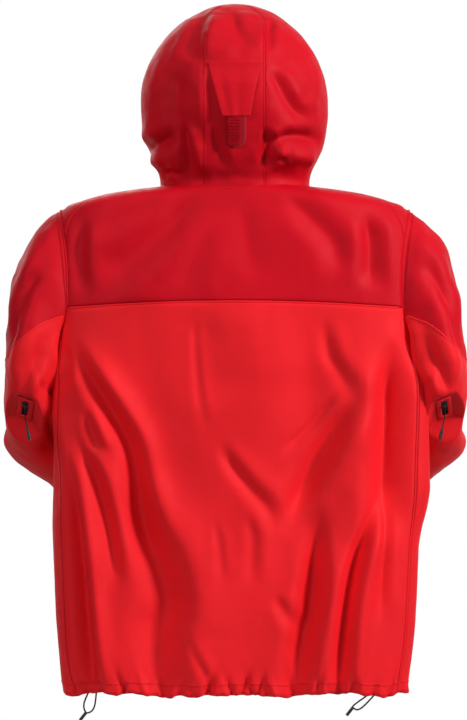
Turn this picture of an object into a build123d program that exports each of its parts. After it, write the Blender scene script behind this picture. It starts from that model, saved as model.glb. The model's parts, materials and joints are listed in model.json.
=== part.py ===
from build123d import *

"""A hooded hardshell jacket in its worn shape, with the sleeves bent forward.

Millimetres. The origin is the inner top of the hanger loop at the centre back neck, +Z is up and the
jacket faces -Y, so the wearer's left is +X. Each named piece is written to parts/NAME.step.
"""


import math
import os
from functools import cache

# Cloth
WALL = 1.6  # thickness of a shell panel with its seam allowance and tape
GAP = 0.1  # air between two sewn layers
CLEAR = 0.5  # air where two lofted shapes meet at a slant
OVAL_POINTS = 20

# Seams of the body
FRONT_Y = -146.0  # the straight centre front line
HEM_Z = -757.0
YOKE_Z = -172.0
NECK_Z = 8.0
COLLAR_TOP = 62.0
SIDE_Y = -57.0  # shoulder and side seams
SIDE_X = 236.0  # seams between the side panels and the front and back
FRONT_EDGE = 8.0  # half the gap between the front panels, where the zip shows

# Zips
TAPE = 1.0
TEETH = 2.2
PLATE = 1.4
SLIDER_LONG = 14.0
SLIDER_WIDE = 10.0
PULL_LONG = 26.0
PIN_RISE = 2.7  # pin centre above the slider's top plate
ZIP_SLOT = 6.0  # half width of the opening over a pocket's or side zip

# Hem tunnel
HEM_TALL = 22.0
TUNNEL_DEEP = 6.2
FACING = 1.2
CORD_R = 1.25  # hem cord, 2.5 mm round

# Body sections: height, half width, y of the back, squareness of the oval
BODY_SECTIONS = [
    (HEM_Z, 262, 12, 2.6),
    (-500, 276, 14, 2.6),
    (-300, 277, 22, 2.7),
    (-162, 264, 26, 2.8),
    (-60, 256, 22, 2.8),
    (-22, 248, 17, 2.8),
    (-6, 205, 14, 2.6),
    (2, 165, 12, 2.4),
    (9, 112, 9, 2.2),
    (20, 98, 4, 2.1),
    (COLLAR_TOP, 92, 2, 2.1),
]
# Hood sections: height, half width, y of the front, y of the back
HOOD_SECTIONS = [
    (18, 113, -142, 11),
    (34, 115, -146, 24),
    (68, 133, -160, 46),
    (100, 138, -168, 60),
    (135, 140, -174, 68),
    (170, 136, -178, 68),
    (210, 121, -172, 52),
    (247, 93, -155, 22),
    (270, 62, -132, -8),
    (284, 30, -104, -38),
]
HOOD_POWER = 2.2
HOOD_SEAM_X = 44.0
# Side view of the face opening, as y and z from the chin to the brim
FACE_LINE = [(-112, 10), (-120, 40), (-134, 110), (-148, 190), (-152, 222)]
EYELET = (-106, 62)  # y and z

# Upper sleeve sections: inner and outer point as x and z, y of the centre, half depth
SLEEVE_HEAD = [
    ((205, -286), (205, -34), -62, 66),
    ((250, -297), (262, -30), -62, 72),
    ((263, -300), (304, -60), -62, 76),
    ((271, -303), (333, -122), -62, 78),
    ((276, -306), (345, -215), -64, 80),
    ((279, -316), (350, -302), -70, 78),
]
SLEEVE_POWER = 2.2
ELBOW = Vector(305, -130, -376)
UPPER_WAY = Vector(0.03, -0.10, -0.995).normalized()
FOREARM_WAY = Vector(-158, -158, -132).normalized()
ELBOW_HALF = (48, 43)  # across and in the plane of the bend
ELBOW_PLAY = 0.5
# Forearm sections: distance past the elbow, half width across, half width in the plane of the bend
CUFF_START = 218.0
CUFF_END = 258.0
FOREARM = [(70, 50, 44), (150, 49, 43), (CUFF_START, 47, 41), (CUFF_END, 46, 39)]

# Hood adjuster, on the centre back of the hood
FLAP_TOP_Z = 186.0
FLAP_KNEE_Z = 169.0  # the flap follows the hood down to here and hangs straight below
FLAP_BOTTOM_Z = 106.0
FLAP_TOP_WIDE = 80.0
FLAP_BOTTOM_WIDE = 40.0
STRAP_WIDE = 22.0
STRAP_BOTTOM_Z = 66.0

# Hand pockets
POCKET_X = 176.0
POCKET_Z = (-506.0, -336.0)

# Armholes in the side of the body: centre y and z, half depth, half height, and where they begin in x
ARMHOLE = (-62, -166, 58, 116)
ARMHOLE_X = 200

# Side zips under the arms: the middle and a point lower down on the sleeve's back, as x and z
PIT_MIDDLE = (318, -331)
PIT_BELOW = (323, -351)
PIT_LONG = 42.0
PIT_SINK = 4.2  # the flat under the zip lies this far inside the sleeve's curve

nodes = {}


def box(x0, x1, y0, y1, z0, z1):
    """A box between two corners."""
    size = (x1 - x0, y1 - y0, z1 - z0)
    return Pos((x0 + x1) / 2, (y0 + y1) / 2, (z0 + z1) / 2) * Box(*size)


def oval(plane, half_x, half_y, power):
    """A closed superellipse on a plane."""
    points = []
    for i in range(OVAL_POINTS):
        turn = 2 * math.pi * i / OVAL_POINTS
        c, s = math.cos(turn), math.sin(turn)
        x = half_x * math.copysign(abs(c) ** (2 / power), c)
        y = half_y * math.copysign(abs(s) ** (2 / power), s)
        points.append(plane.from_local_coords(Vector(x, y)))
    return Wire([Spline(*points, periodic=True)])


def level_oval(z, half_width, front, back, power):
    """A superellipse in a level plane, from front to back."""
    plane = Plane(origin=(0, (front + back) / 2, z))
    return oval(plane, half_width, (back - front) / 2, power)


def loft_through(wires):
    """A closed solid, straight between one section and the next."""
    stretches = [Solid.make_loft(list(pair), ruled=True) for pair in zip(wires, wires[1:])]
    return stretches[0].fuse(*stretches[1:]) if len(stretches) > 1 else stretches[0]


def both_sides(name, left, *, other=None):
    """Stores a piece of the wearer's left side, and its mirror image on the right."""
    nodes[f"{name}_left"] = left
    nodes[f"{name}_right"] = mirror(left, Plane.YZ) if other is None else other


# Body


@cache
def body_solid(depth):
    """The body's outside, or the surface that lies depth inside it."""
    wires = []
    for z, half, back, power in BODY_SECTIONS:
        on_shoulder = -60 < z < 10
        level = z - depth if on_shoulder else z
        if depth and z == HEM_Z:
            level = z - 1
        if depth and z == COLLAR_TOP:
            level = z + 1
        wires.append(level_oval(level, half - depth, FRONT_Y + depth, back - depth, power))
    return loft_through(wires)


def body_layer(depth, thick):
    """A layer of cloth that lies depth inside the body's outside."""
    return body_solid(depth) - body_solid(depth + thick)


def sleeve_section_plane(inner, outer, y):
    """The plane of an upper sleeve section: local x runs from the inner to the outer point, local y back."""
    start, end = Vector(inner[0], y, inner[1]), Vector(outer[0], y, outer[1])
    across = (end - start).normalized()
    return Plane(origin=(start + end) / 2, x_dir=across, z_dir=across.cross(Vector(0, 1, 0)))


@cache
def elbow_frame():
    """The mitre normal, the outward direction and the bend's own axis at the elbow."""
    mitre = (UPPER_WAY + FOREARM_WAY).normalized()
    outward = (UPPER_WAY - FOREARM_WAY).normalized()
    return mitre, outward, UPPER_WAY.cross(FOREARM_WAY).normalized()


@cache
def sleeve_loft(depth):
    """The left upper sleeve's curved outside, or the surface depth inside it."""
    mitre, outward, _ = elbow_frame()
    wires = []
    for inner, outer, y, half_y in SLEEVE_HEAD:
        plane = sleeve_section_plane(inner, outer, y)
        half = math.dist(inner, outer) / 2
        wires.append(oval(plane, half - depth, half_y - depth, SLEEVE_POWER))
    end = Plane(origin=ELBOW, x_dir=outward, z_dir=-mitre)
    wires.append(oval(end, ELBOW_HALF[1] - depth, ELBOW_HALF[0] - depth, SLEEVE_POWER))
    return loft_through(wires)


@cache
def upper_sleeve_solid(depth):
    """The left upper sleeve with the flat for its side zip."""
    flat = pit_frame() * box(-80, 80, -60, PIT_LONG + 60, -depth, 60)
    return sleeve_loft(depth) - flat


@cache
def forearm_solid(depth, start=None, end=None, swell=0.0):
    """The left forearm's outside or a surface inside it, or its stretch from start to end, grown by swell."""
    mitre, outward, bend = elbow_frame()
    narrow = bend.cross(FOREARM_WAY).normalized()
    if narrow.dot(outward) < 0:
        narrow = -narrow
    wires = []
    if start is None:
        origin = ELBOW + mitre * ELBOW_PLAY
        plane = Plane(origin=origin, x_dir=outward, z_dir=-mitre)
        wires.append(oval(plane, ELBOW_HALF[1] - depth, ELBOW_HALF[0] - depth, SLEEVE_POWER))
    for away, across, along in forearm_stations(start, end):
        plane = Plane(origin=ELBOW + FOREARM_WAY * away, x_dir=narrow, z_dir=-FOREARM_WAY)
        wires.append(oval(plane, along - depth + swell, across - depth + swell, SLEEVE_POWER))
    return loft_through(wires)


def forearm_stations(start, end):
    """Forearm sections between two distances, with sections made at both ends."""
    if start is None:
        return FOREARM
    inside = [s for s in FOREARM if start < s[0] < end]
    return [forearm_at(start), *inside, forearm_at(end)]


def forearm_at(away):
    """The forearm section at any distance past the elbow."""
    before = max((s for s in FOREARM if s[0] <= away), key=lambda s: s[0])
    after = min((s for s in FOREARM if s[0] >= away), key=lambda s: s[0])
    if before == after:
        return before
    share = (away - before[0]) / (after[0] - before[0])
    return tuple(b + (a - b) * share for b, a in zip(before, after))


def make_body(pocket_slot):
    """The body's panels and collar, with the armholes, the front and the pocket slots open."""
    cloth, far = body_layer(0, WALL), 400
    y, z, half_y, half_z = ARMHOLE
    start = Plane(origin=(ARMHOLE_X, y, z), x_dir=(0, 1, 0), z_dir=(1, 0, 0))
    armhole = extrude(Face(oval(start, half_y, half_z, SLEEVE_POWER)), 200)
    low, high = (HEM_Z - 5, YOKE_Z), (YOKE_Z, NECK_Z)
    collar = cloth & box(-far, far, -far, far, NECK_Z, COLLAR_TOP + 5)
    tapes = box(-18.3, 18.3, FRONT_Y + WALL + 0.04, FRONT_Y + WALL + 1.6, YOKE_Z, COLLAR_TOP + 5)
    nodes["collar"] = collar - box(-FRONT_EDGE, FRONT_EDGE, -far, 0, 0, 100) - tapes
    yoke = cloth & box(-far, far, SIDE_Y, far, *high)
    nodes["back_yoke"] = yoke - armhole - mirror(armhole, Plane.YZ)
    both_sides("front_yoke", (cloth & box(FRONT_EDGE, far, -far, SIDE_Y, *high)) - armhole - tapes)
    nodes["back_panel"] = cloth & box(-SIDE_X, SIDE_X, SIDE_Y, far, *low)
    front = cloth & box(FRONT_EDGE, SIDE_X, -far, SIDE_Y, *low)
    both_sides("front_panel", front - armhole - pocket_slot)
    both_sides("side_panel", (cloth & box(SIDE_X, far, -far, far, *low)) - armhole)


def make_hem():
    """The turned-up facing that closes the hem tunnel, and the elastic cord inside it."""
    top = HEM_Z + HEM_TALL
    front_gap = box(-26, 26, FRONT_Y - 5, SIDE_Y, HEM_Z - 5, top + 5)
    wall = body_layer(TUNNEL_DEEP, FACING) & box(-400, 400, -400, 400, HEM_Z, top)
    web = body_layer(WALL + CLEAR, TUNNEL_DEEP - WALL)
    floor = web & box(-400, 400, -400, 400, HEM_Z, HEM_Z + FACING)
    roof = web & box(-400, 400, -400, 400, top - FACING, top)
    nodes["hem_facing"] = (wall + floor + roof) - front_gap
    cord = body_layer(WALL + 1.2, 2.4) & box(-400, 400, -400, 400, HEM_Z + 9, HEM_Z + 11.5)
    nodes["hem_drawcord"] = cord - front_gap


def make_sleeves():
    """Upper sleeves from the armhole seam to the elbow, and forearms from the elbow to the cuff."""
    upper = upper_sleeve_solid(0) - upper_sleeve_solid(WALL) - body_solid(-CLEAR)
    upper = upper.solids().sort_by(SortBy.VOLUME)[-1]
    both_sides("upper_sleeve", upper - pit_frame() * zip_slot(PIT_LONG))
    forearm = forearm_solid(0) - forearm_solid(WALL)
    cuff_zone = forearm_solid(-6, CUFF_START, CUFF_END)
    both_sides("lower_sleeve", forearm - cuff_zone)
    band = forearm_solid(0, CUFF_START, CUFF_END) - forearm_solid(WALL * 2, CUFF_START, CUFF_END)
    both_sides("cuff_band", band)


def cuff_frame():
    """On the broad outer side of the left cuff: local y runs along the forearm, local z stands out."""
    mitre, outward, bend = elbow_frame()
    narrow = bend.cross(FOREARM_WAY).normalized()
    out = narrow if narrow.dot(outward) > 0 else -narrow
    middle = (CUFF_START + CUFF_END) / 2
    _, _, along = forearm_at(middle)
    origin = ELBOW + FOREARM_WAY * middle + out * along
    return Plane(origin=origin, x_dir=FOREARM_WAY.cross(out), z_dir=out)


def make_cuff_tabs():
    """Each cuff's hook and loop tab, with the loop patch that it closes on."""
    middle = (CUFF_START + CUFF_END) / 2
    patch_ring = forearm_solid(0, middle - 13, middle + 13, swell=1.0)
    patch_ring -= forearm_solid(0, middle - 13, middle + 13, swell=GAP)
    frame = cuff_frame()
    both_sides("cuff_loop_patch", patch_ring & frame * box(-46, 22, -30, 30, -30, 10))
    tab_ring = forearm_solid(0, middle - 11, middle + 11, swell=3.4)
    tab_ring -= forearm_solid(0, middle - 11, middle + 11, swell=1.6)
    tab_reach = frame * box(-34, 26, -30, 30, -30, 12)
    both_sides("cuff_tab", tab_ring & tab_reach)


# Hood


@cache
def hood_solid(depth):
    """The hood's outside, or the surface that lies depth inside it."""
    wires = []
    for z, half, front, back in HOOD_SECTIONS:
        level = z - depth if z > 200 else z
        if depth > 0 and z == HOOD_SECTIONS[0][0]:
            level = z - 1
        wires.append(level_oval(level, half - depth, front + depth, back - depth, HOOD_POWER))
    return loft_through(wires)


def face_cutter():
    """Everything in front of the face opening's edge."""
    with_front = [(y, z) for y, z in FACE_LINE]
    outline = [(-300, 5), (FACE_LINE[0][0], 5), *with_front, (-300, 236)]
    points = [Vector(-200, y, z) for y, z in outline]
    profile = Face(Wire(Polyline(*points, close=True)))
    return extrude(profile, 400, dir=(1, 0, 0))


def make_hood():
    """A centre strip over the head, two side panels, the brim and its wire."""
    cloth = hood_solid(0) - hood_solid(WALL) - face_cutter()
    seam = HOOD_SEAM_X
    nodes["hood_centre_panel"] = cloth & box(-seam, seam, -300, 300, 0, 300)
    both_sides("hood_side_panel", cloth & box(seam, 300, -300, 300, 0, 300))
    # The brim is the upper arc of a flattened tube, cut to a crescent in plan.
    rise = Plane(origin=(0, -150, 150), x_dir=(1, 0, 0), z_dir=(0, -1, 0.12))
    tube = [oval(rise.offset(away), 106 - away * 0.2, 78 - away * 0.1, 2.0) for away in (-4, 62)]
    bore = [oval(rise.offset(away), 103.6 - away * 0.2, 75.6 - away * 0.1, 2.0) for away in (-5, 63)]
    arch = loft_through(tube) - loft_through(bore)
    arch &= Pos(0, -150, 205) * extrude(Ellipse(98, 54).face(), 40, both=True)
    arch = arch & box(-200, 200, -300, 0, 188, 260)
    nodes["hood_brim"] = (arch - hood_solid(-GAP)).solids().sort_by(SortBy.VOLUME)[-1]


def hood_back_point(z):
    """The hood's outside at centre back, at a height."""
    for low, high in zip(HOOD_SECTIONS, HOOD_SECTIONS[1:]):
        if low[0] <= z <= high[0]:
            share = (z - low[0]) / (high[0] - low[0])
            return Vector(0, low[3] + (high[3] - low[3]) * share, z)
    raise ValueError(z)


def plate_between(top, bottom, top_wide, bottom_wide, thick):
    """A flat plate from a top edge to a bottom edge, both along X, that stands thick off their plane."""
    down = (bottom - top).normalized()
    frame = Plane(origin=top, x_dir=(1, 0, 0), z_dir=down.cross(Vector(-1, 0, 0)))
    if frame.z_dir.Y < 0:
        frame = Plane(origin=top, x_dir=(1, 0, 0), z_dir=-frame.z_dir)
    length = (bottom - top).length
    sign = math.copysign(1, frame.to_local_coords(bottom).Y)
    points = [
        (-top_wide / 2, 0),
        (top_wide / 2, 0),
        (bottom_wide / 2, sign * length),
        (-bottom_wide / 2, sign * length),
    ]
    face = Face(Wire(Polyline(*[frame.from_local_coords(Vector(*p)) for p in points], close=True)))
    return extrude(face, thick, dir=frame.z_dir)


def make_adjuster():
    """The patch on the hood's back, and the tapered flap with its ribbed strap that closes on it."""
    skin = hood_solid(-0.9) - hood_solid(-GAP)
    patch = box(-15, 15, -20, 200, STRAP_BOTTOM_Z + 9, FLAP_KNEE_Z - 1)
    foot = Pos(0, 60, STRAP_BOTTOM_Z + 9) * Rot(90, 0, 0) * Cylinder(15, 120)
    nodes["adjuster_loop_patch"] = skin & (patch + foot)
    top = hood_back_point(FLAP_TOP_Z) + Vector(0, 0.7, 0)
    knee = hood_back_point(FLAP_KNEE_Z) + Vector(0, 2.0, 0)
    middle = hood_back_point(FLAP_BOTTOM_Z) + Vector(0, 8.8, 0)
    share = (FLAP_TOP_Z - FLAP_KNEE_Z) / (FLAP_TOP_Z - FLAP_BOTTOM_Z)
    knee_wide = FLAP_TOP_WIDE + (FLAP_BOTTOM_WIDE - FLAP_TOP_WIDE) * share
    flap = plate_between(top, knee, FLAP_TOP_WIDE, knee_wide, 1.4)
    flap += plate_between(knee, middle, knee_wide, FLAP_BOTTOM_WIDE, 1.4)
    nodes["adjuster_flap"] = flap
    start = middle + Vector(0, -1.0, 2)
    foot = hood_back_point(STRAP_BOTTOM_Z) + Vector(0, 3.4, 0)
    strap = plate_between(start, foot, STRAP_WIDE, STRAP_WIDE, 1.6) - flap
    nodes["adjuster_strap"] = strap


# Zips, made lying on a plane: x across, y up the zip from its bottom, z out of the cloth


def tape_level(gap=GAP):
    """The height of the tape's middle, under a panel."""
    return -(WALL + gap) - TAPE / 2


def zip_tape(length, half_width, gap=GAP):
    """One tape of a zip."""
    middle = tape_level(gap)
    return box(2.3, half_width, 0, length, middle - TAPE / 2, middle + TAPE / 2)


def zip_teeth(length, gap=GAP):
    """Both closed rows of teeth, with the slit in which the slider's web runs."""
    middle = tape_level(gap)
    row = box(0.7, 2.3, 0, length, middle - TEETH / 2, middle + TEETH / 2)
    return row + mirror(row, Plane.YZ)


def zip_chain(length, half_width, gap):
    """Both tapes and both rows of teeth of a short zip."""
    tape = zip_tape(length, half_width, gap)
    return tape + mirror(tape, Plane.YZ) + zip_teeth(length, gap)


def zip_slot(length):
    """The cut in the cloth over a zip."""
    return box(-ZIP_SLOT, ZIP_SLOT, 0.5, length - 0.5, -12, 12)


def slider(gap=GAP):
    """Two plates with turned-in edges round the teeth, joined by a web, and the bridge for the pull."""
    middle = tape_level(gap)
    inner = TEETH / 2 + 0.4
    half, long = SLIDER_WIDE / 2, SLIDER_LONG
    plates = box(-half, half, 0, long, middle - inner - PLATE, middle + inner + PLATE)
    plates -= box(-half + 1, half - 1, -1, long + 1, middle - inner, middle + inner)
    plates -= box(-half - 1, half + 1, -1, long + 1, middle - 0.9, middle + 0.9)
    web = box(-0.4, 0.4, long - 5, long, middle - inner, middle + inner)
    top = middle + inner + PLATE
    rise = top + PIN_RISE
    post = box(2.6, 3.8, long / 2 - 1.6, long / 2 + 1.6, top, rise + 1.2)
    pin = Pos(0, long / 2, rise) * Rot(0, 90, 0) * Cylinder(0.8, 6.4)
    return plates + web + post + mirror(post, Plane.YZ) + pin


def pin_point(gap=GAP):
    """The middle of the slider's pin."""
    return Vector(0, SLIDER_LONG / 2, tape_level(gap) + TEETH / 2 + 0.4 + PLATE + PIN_RISE)


def pull_tab(gap=GAP):
    """A tapered tab that hangs from the pin."""
    pin = pin_point(gap)
    tab = box(-2.2, 2.2, -PULL_LONG, 0, -0.9, 0.9) + box(-3.4, 3.4, -PULL_LONG - 8, -8, -0.9, 0.9)
    tab += Rot(0, 90, 0) * Cylinder(1.9, 4.4)
    tab -= Rot(0, 90, 0) * Cylinder(1.1, 10)
    return Pos(pin.X, pin.Y, pin.Z) * tab


def main_zip_frame():
    """The centre front line: local x is towards the wearer's right."""
    return Plane(origin=(0, FRONT_Y, HEM_Z), x_dir=(1, 0, 0), z_dir=(0, -1, 0))


def make_main_zip():
    """Tapes, teeth, stops, slider, pull and the flap behind them, all the way up the front."""
    frame = main_zip_frame()
    length = COLLAR_TOP - HEM_Z
    tape = zip_tape(length, 18)
    nodes["zip_tapes"] = frame * (tape + mirror(tape, Plane.YZ))
    nodes["zip_teeth"] = frame * zip_teeth(length - 6)
    stop = box(0.7, 3.0, length - 5, length - 1, tape_level() - 1.8, tape_level() + 1.8)
    stop -= box(2.2, 4, length - 6, length, tape_level() - 0.6, tape_level() + 0.6)
    nodes["zip_top_stops"] = frame * (stop + mirror(stop, Plane.YZ))
    shoe = box(-5, 5, -1.6, 11, tape_level() - 2.4, tape_level() + 2.4)
    shoe -= box(-20, 20, -0.1, 12, tape_level() - 1.2, tape_level() + 1.2)
    nodes["zip_bottom_box"] = frame * shoe
    at_top = Pos(0, length - 6.5 - SLIDER_LONG, 0)
    nodes["zip_slider"] = frame * (at_top * slider())
    nodes["zip_pull"] = frame * (at_top * pull_tab())
    flap = box(-24, 13, 12, length + 1.6, -9.2, -8.0)
    flap += box(13, 16, 12, length - 2, -9.2, tape_level() - TAPE / 2)
    nodes["storm_flap"] = frame * flap


@cache
def pocket_frame():
    """The left hand pocket's zip line on the front panel."""
    low, high = POCKET_Z
    skin = body_solid(0)
    point, normal = front_of(skin, POCKET_X, (low + high) / 2)
    return Plane(origin=(point.X, point.Y, low), x_dir=Vector(0, 0, 1).cross(normal), z_dir=normal)


def front_of(solid, x, z):
    """Where a line along Y meets the front of a solid, and the level outward direction there."""
    hits = solid.find_intersection_points(Axis((x, 0, z), (0, 1, 0)))
    point, normal = min(hits, key=lambda hit: hit[0].Y)
    level = Vector(normal.X, normal.Y, 0).normalized()
    return point, level if level.Y < 0 else -level


def make_pockets():
    """Each hand pocket's zip, slider, pull and bag. Returns the slot in the left front panel."""
    frame = pocket_frame()
    length = POCKET_Z[1] - POCKET_Z[0]
    gap = 0.5
    both_sides("pocket_zip", frame * zip_chain(length, 12, gap))
    at_top = Pos(0, length - 1 - SLIDER_LONG, 0)
    both_sides("pocket_slider", frame * (at_top * slider(gap)))
    both_sides("pocket_pull", frame * (at_top * pull_tab(gap)))
    bag = body_layer(10.5, 2.4) & box(52, 214, FRONT_Y, SIDE_Y - 6, POCKET_Z[0] - 90, POCKET_Z[1] + 8)
    both_sides("pocket_bag", bag)
    return frame * zip_slot(length)


def back_of(solid, x, z):
    """Where a line along Y meets the back of a solid, and the outward direction there."""
    hits = solid.find_intersection_points(Axis((x, 0, z), (0, 1, 0)))
    point, normal = max(hits, key=lambda hit: hit[0].Y)
    return point, normal if normal.Y > 0 else -normal


@cache
def pit_frame():
    """The left side zip on the back of the upper sleeve, from its lower end up."""
    middle, normal = back_of(sleeve_loft(0), *PIT_MIDDLE)
    below, _ = back_of(sleeve_loft(0), *PIT_BELOW)
    up = middle - below
    up = (up - normal * up.dot(normal)).normalized()
    origin = middle - up * (PIT_LONG / 2) - normal * PIT_SINK
    return Plane(origin=origin, x_dir=up.cross(normal), z_dir=normal)


def make_pit_zips():
    """Each side zip with its slider, pull cord and moulded tip."""
    frame, gap = pit_frame(), 0.5
    both_sides("side_zip", frame * zip_chain(PIT_LONG, 9, gap))
    rest = PIT_LONG - 1.5 - SLIDER_LONG
    pin = pin_point(gap) + Vector(0, rest, 0)
    ferrule = Pos(0, pin.Y - 1.5, pin.Z) * Rot(90, 0, 0) * Cylinder(1.9, 5)
    both_sides("side_zip_slider", frame * (Pos(0, rest, 0) * slider(gap) + ferrule))
    start = frame.from_local_coords(Vector(0, pin.Y - 4, pin.Z))
    bend = start - frame.y_dir * 10.5
    route = [start, bend, bend + Vector(-2, 0, -14), bend + Vector(-5, 1, -28)]
    both_sides("side_zip_cord", cord_tube(route, 1.0))
    tip_plane = Plane(origin=route[-1], z_dir=(route[-1] - route[-2]).normalized())
    tip = extrude(tip_plane * Circle(1.9).face(), 3) + extrude(tip_plane.offset(3) * Circle(2.5).face(), 14)
    both_sides("side_zip_tip", tip)


def make_hood_eyelets():
    """An eyelet on each side of the face opening, for the hood's drawcord."""
    y, z = EYELET
    skin = hood_solid(0)
    hits = skin.find_intersection_points(Axis((0, y, z), (1, 0, 0)))
    point, normal = max(hits, key=lambda hit: hit[0].X)
    seat = Plane(origin=point, z_dir=normal)
    ring = seat * Pos(0, 0, -0.4) * (Cylinder(4.2, 3.4) - Cylinder(2.0, 10))
    nodes["hood_eyelets"] = ring + mirror(ring, Plane.YZ)


# Cords


def cord_tube(route, radius):
    """A round tube along straight runs joined by the largest tangent arcs that the runs allow."""
    radii = []
    for before, here, after in zip(route, route[1:], route[2:]):
        runs = ((here - before).length, (after - here).length)
        turn = math.radians((here - before).get_angle(after - here))
        radii.append(0.45 * min(runs) / math.tan(turn / 2))
    path = FilletPolyline(*route, radius=radii)
    start = Plane(origin=route[0], z_dir=(route[1] - route[0]).normalized())
    tube = sweep(start * Circle(radius).face(), path=path)
    share = tube.volume / (math.pi * radius**2 * path.length)
    print("cord", round(path.length, 1), "mm, radii", [round(r, 1) for r in radii], round(share, 4))
    return tube


def make_hem_cord_lock(name, x_out, x_in, steps):
    """A cord lock inside the hem with its button, and the loop of cord that hangs out of it."""
    middle, skin = (x_out + x_in) / 2, body_solid(TUNNEL_DEEP + FACING)
    point, _ = back_of(skin, middle, HEM_Z + 8)
    place = Pos(middle, point.Y - 10.5, HEM_Z + 10) * Rot(0, 0, -math.copysign(24, middle))
    bore = Pos(0, -5, 1) * Rot(90, 0, 0) * Cylinder(4.2, 14)
    body = fillet(Box(26, 10, 18).edges().filter_by(Axis.Z), 2) - bore
    nodes[f"hem_lock_button_{name}"] = place * Pos(0, -4.2, 1) * Rot(90, 0, 0) * Cylinder(3.9, 7.4)
    y = place.position.Y
    route = [Vector(x_out, y, HEM_Z)]
    route += [Vector(x, y + dy, z) for x, dy, z in steps]
    route += [Vector(x_in, y, HEM_Z)]
    loop = cord_tube(route, CORD_R)
    nodes[f"hem_loop_{name}"] = loop
    return place * body, route, loop


def make_hem_loops():
    """The left loop hangs down, the right one slants, and each has a moulded end at its lowest turn."""
    left = [(225, 2, -765), (228, 4, -776), (223, 4, -785), (215, 3, -784), (210, 2, -772)]
    right = [(-198, 2, -762), (-187, 5, -769), (-179, 6, -777), (-183, 5, -783), (-196, 3, -776)]
    locks, ends = Part(), Part()
    for name, x_out, x_in, steps in (("left", 221, 209, left), ("right", -204, -213, right)):
        body, route, loop = make_hem_cord_lock(name, x_out, x_in, steps)
        way = Vector(0.62, 0, -0.78)
        plane = Plane(origin=route[3] + way * CORD_R * 1.6, z_dir=way)
        locks += body
        ends += (extrude(plane * Circle(2.4).face(), 15) - loop).solids().sort_by(SortBy.VOLUME)[-1]
    nodes["hem_cord_locks"] = locks
    nodes["hem_loop_ends"] = ends


def make_hanger_loop():
    """A strap inside the back neck. Its inner top is the origin, and its feet are sewn to the yoke."""
    arch = box(-30, 30, -4, 4, -26, 1.4) - box(-24, 24, -5, 5, -19, 0)
    arch -= box(-28, 28, -5, 5, -27, -8)
    arch = fillet(arch.edges().filter_by(Axis.Y).group_by(Axis.Z)[-1], 8)
    seam, _ = back_of(body_solid(WALL), 28, -23)
    foot = box(24, 32, 2, seam.Y + 0.3, -26, -19)
    nodes["hanger_loop"] = arch + foot + mirror(foot, Plane.YZ)


def main():
    """Makes every piece and writes it."""
    slot = make_pockets()
    make_body(slot)
    make_hem()
    make_sleeves()
    make_cuff_tabs()
    make_hood()
    make_hood_eyelets()
    make_adjuster()
    make_main_zip()
    make_pit_zips()
    make_hem_loops()
    make_hanger_loop()
    os.makedirs("parts", exist_ok=True)
    for name, shape in nodes.items():
        export_step(shape, f"parts/{name}.step")


if __name__ == "__main__":
    main()
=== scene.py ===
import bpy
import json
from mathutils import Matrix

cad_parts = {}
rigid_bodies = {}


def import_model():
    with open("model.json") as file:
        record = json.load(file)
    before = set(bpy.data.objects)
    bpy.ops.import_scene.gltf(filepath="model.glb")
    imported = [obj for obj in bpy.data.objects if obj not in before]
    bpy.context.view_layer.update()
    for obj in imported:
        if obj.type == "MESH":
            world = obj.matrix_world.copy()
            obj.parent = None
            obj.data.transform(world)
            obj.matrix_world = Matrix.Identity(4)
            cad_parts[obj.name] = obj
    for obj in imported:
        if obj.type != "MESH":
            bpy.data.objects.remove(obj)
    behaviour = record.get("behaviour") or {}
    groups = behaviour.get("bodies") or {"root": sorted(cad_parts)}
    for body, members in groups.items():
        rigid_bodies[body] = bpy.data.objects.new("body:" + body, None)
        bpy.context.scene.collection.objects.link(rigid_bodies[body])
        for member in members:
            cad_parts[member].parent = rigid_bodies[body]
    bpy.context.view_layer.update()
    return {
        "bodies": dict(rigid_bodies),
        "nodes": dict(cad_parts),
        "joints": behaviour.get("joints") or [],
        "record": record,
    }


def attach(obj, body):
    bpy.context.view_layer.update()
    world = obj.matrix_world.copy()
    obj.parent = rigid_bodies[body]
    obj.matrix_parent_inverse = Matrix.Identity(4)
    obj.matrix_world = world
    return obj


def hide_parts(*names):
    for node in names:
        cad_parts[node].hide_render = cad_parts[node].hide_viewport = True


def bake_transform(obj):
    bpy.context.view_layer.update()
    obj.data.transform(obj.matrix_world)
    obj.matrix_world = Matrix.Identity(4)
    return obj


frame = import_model()

import json
import math

import bmesh
import bpy
import numpy as np
from mathutils import Vector, noise
from mathutils.bvhtree import BVHTree

# ---------------------------------------------------------------- numbers, in metres

FRONT_Y = -0.146
HEM_Z = -0.757
SLOT = 0.008
MIDDLE_Y = -0.062  # halfway between the chest and the back, at the armholes
YOKE_Z = -0.1675
CLOTH = 0.0009
CORD_R = 0.00125
STITCH_LIFT = 0.0003
SIDES = (("left", 1), ("right", -1))
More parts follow.
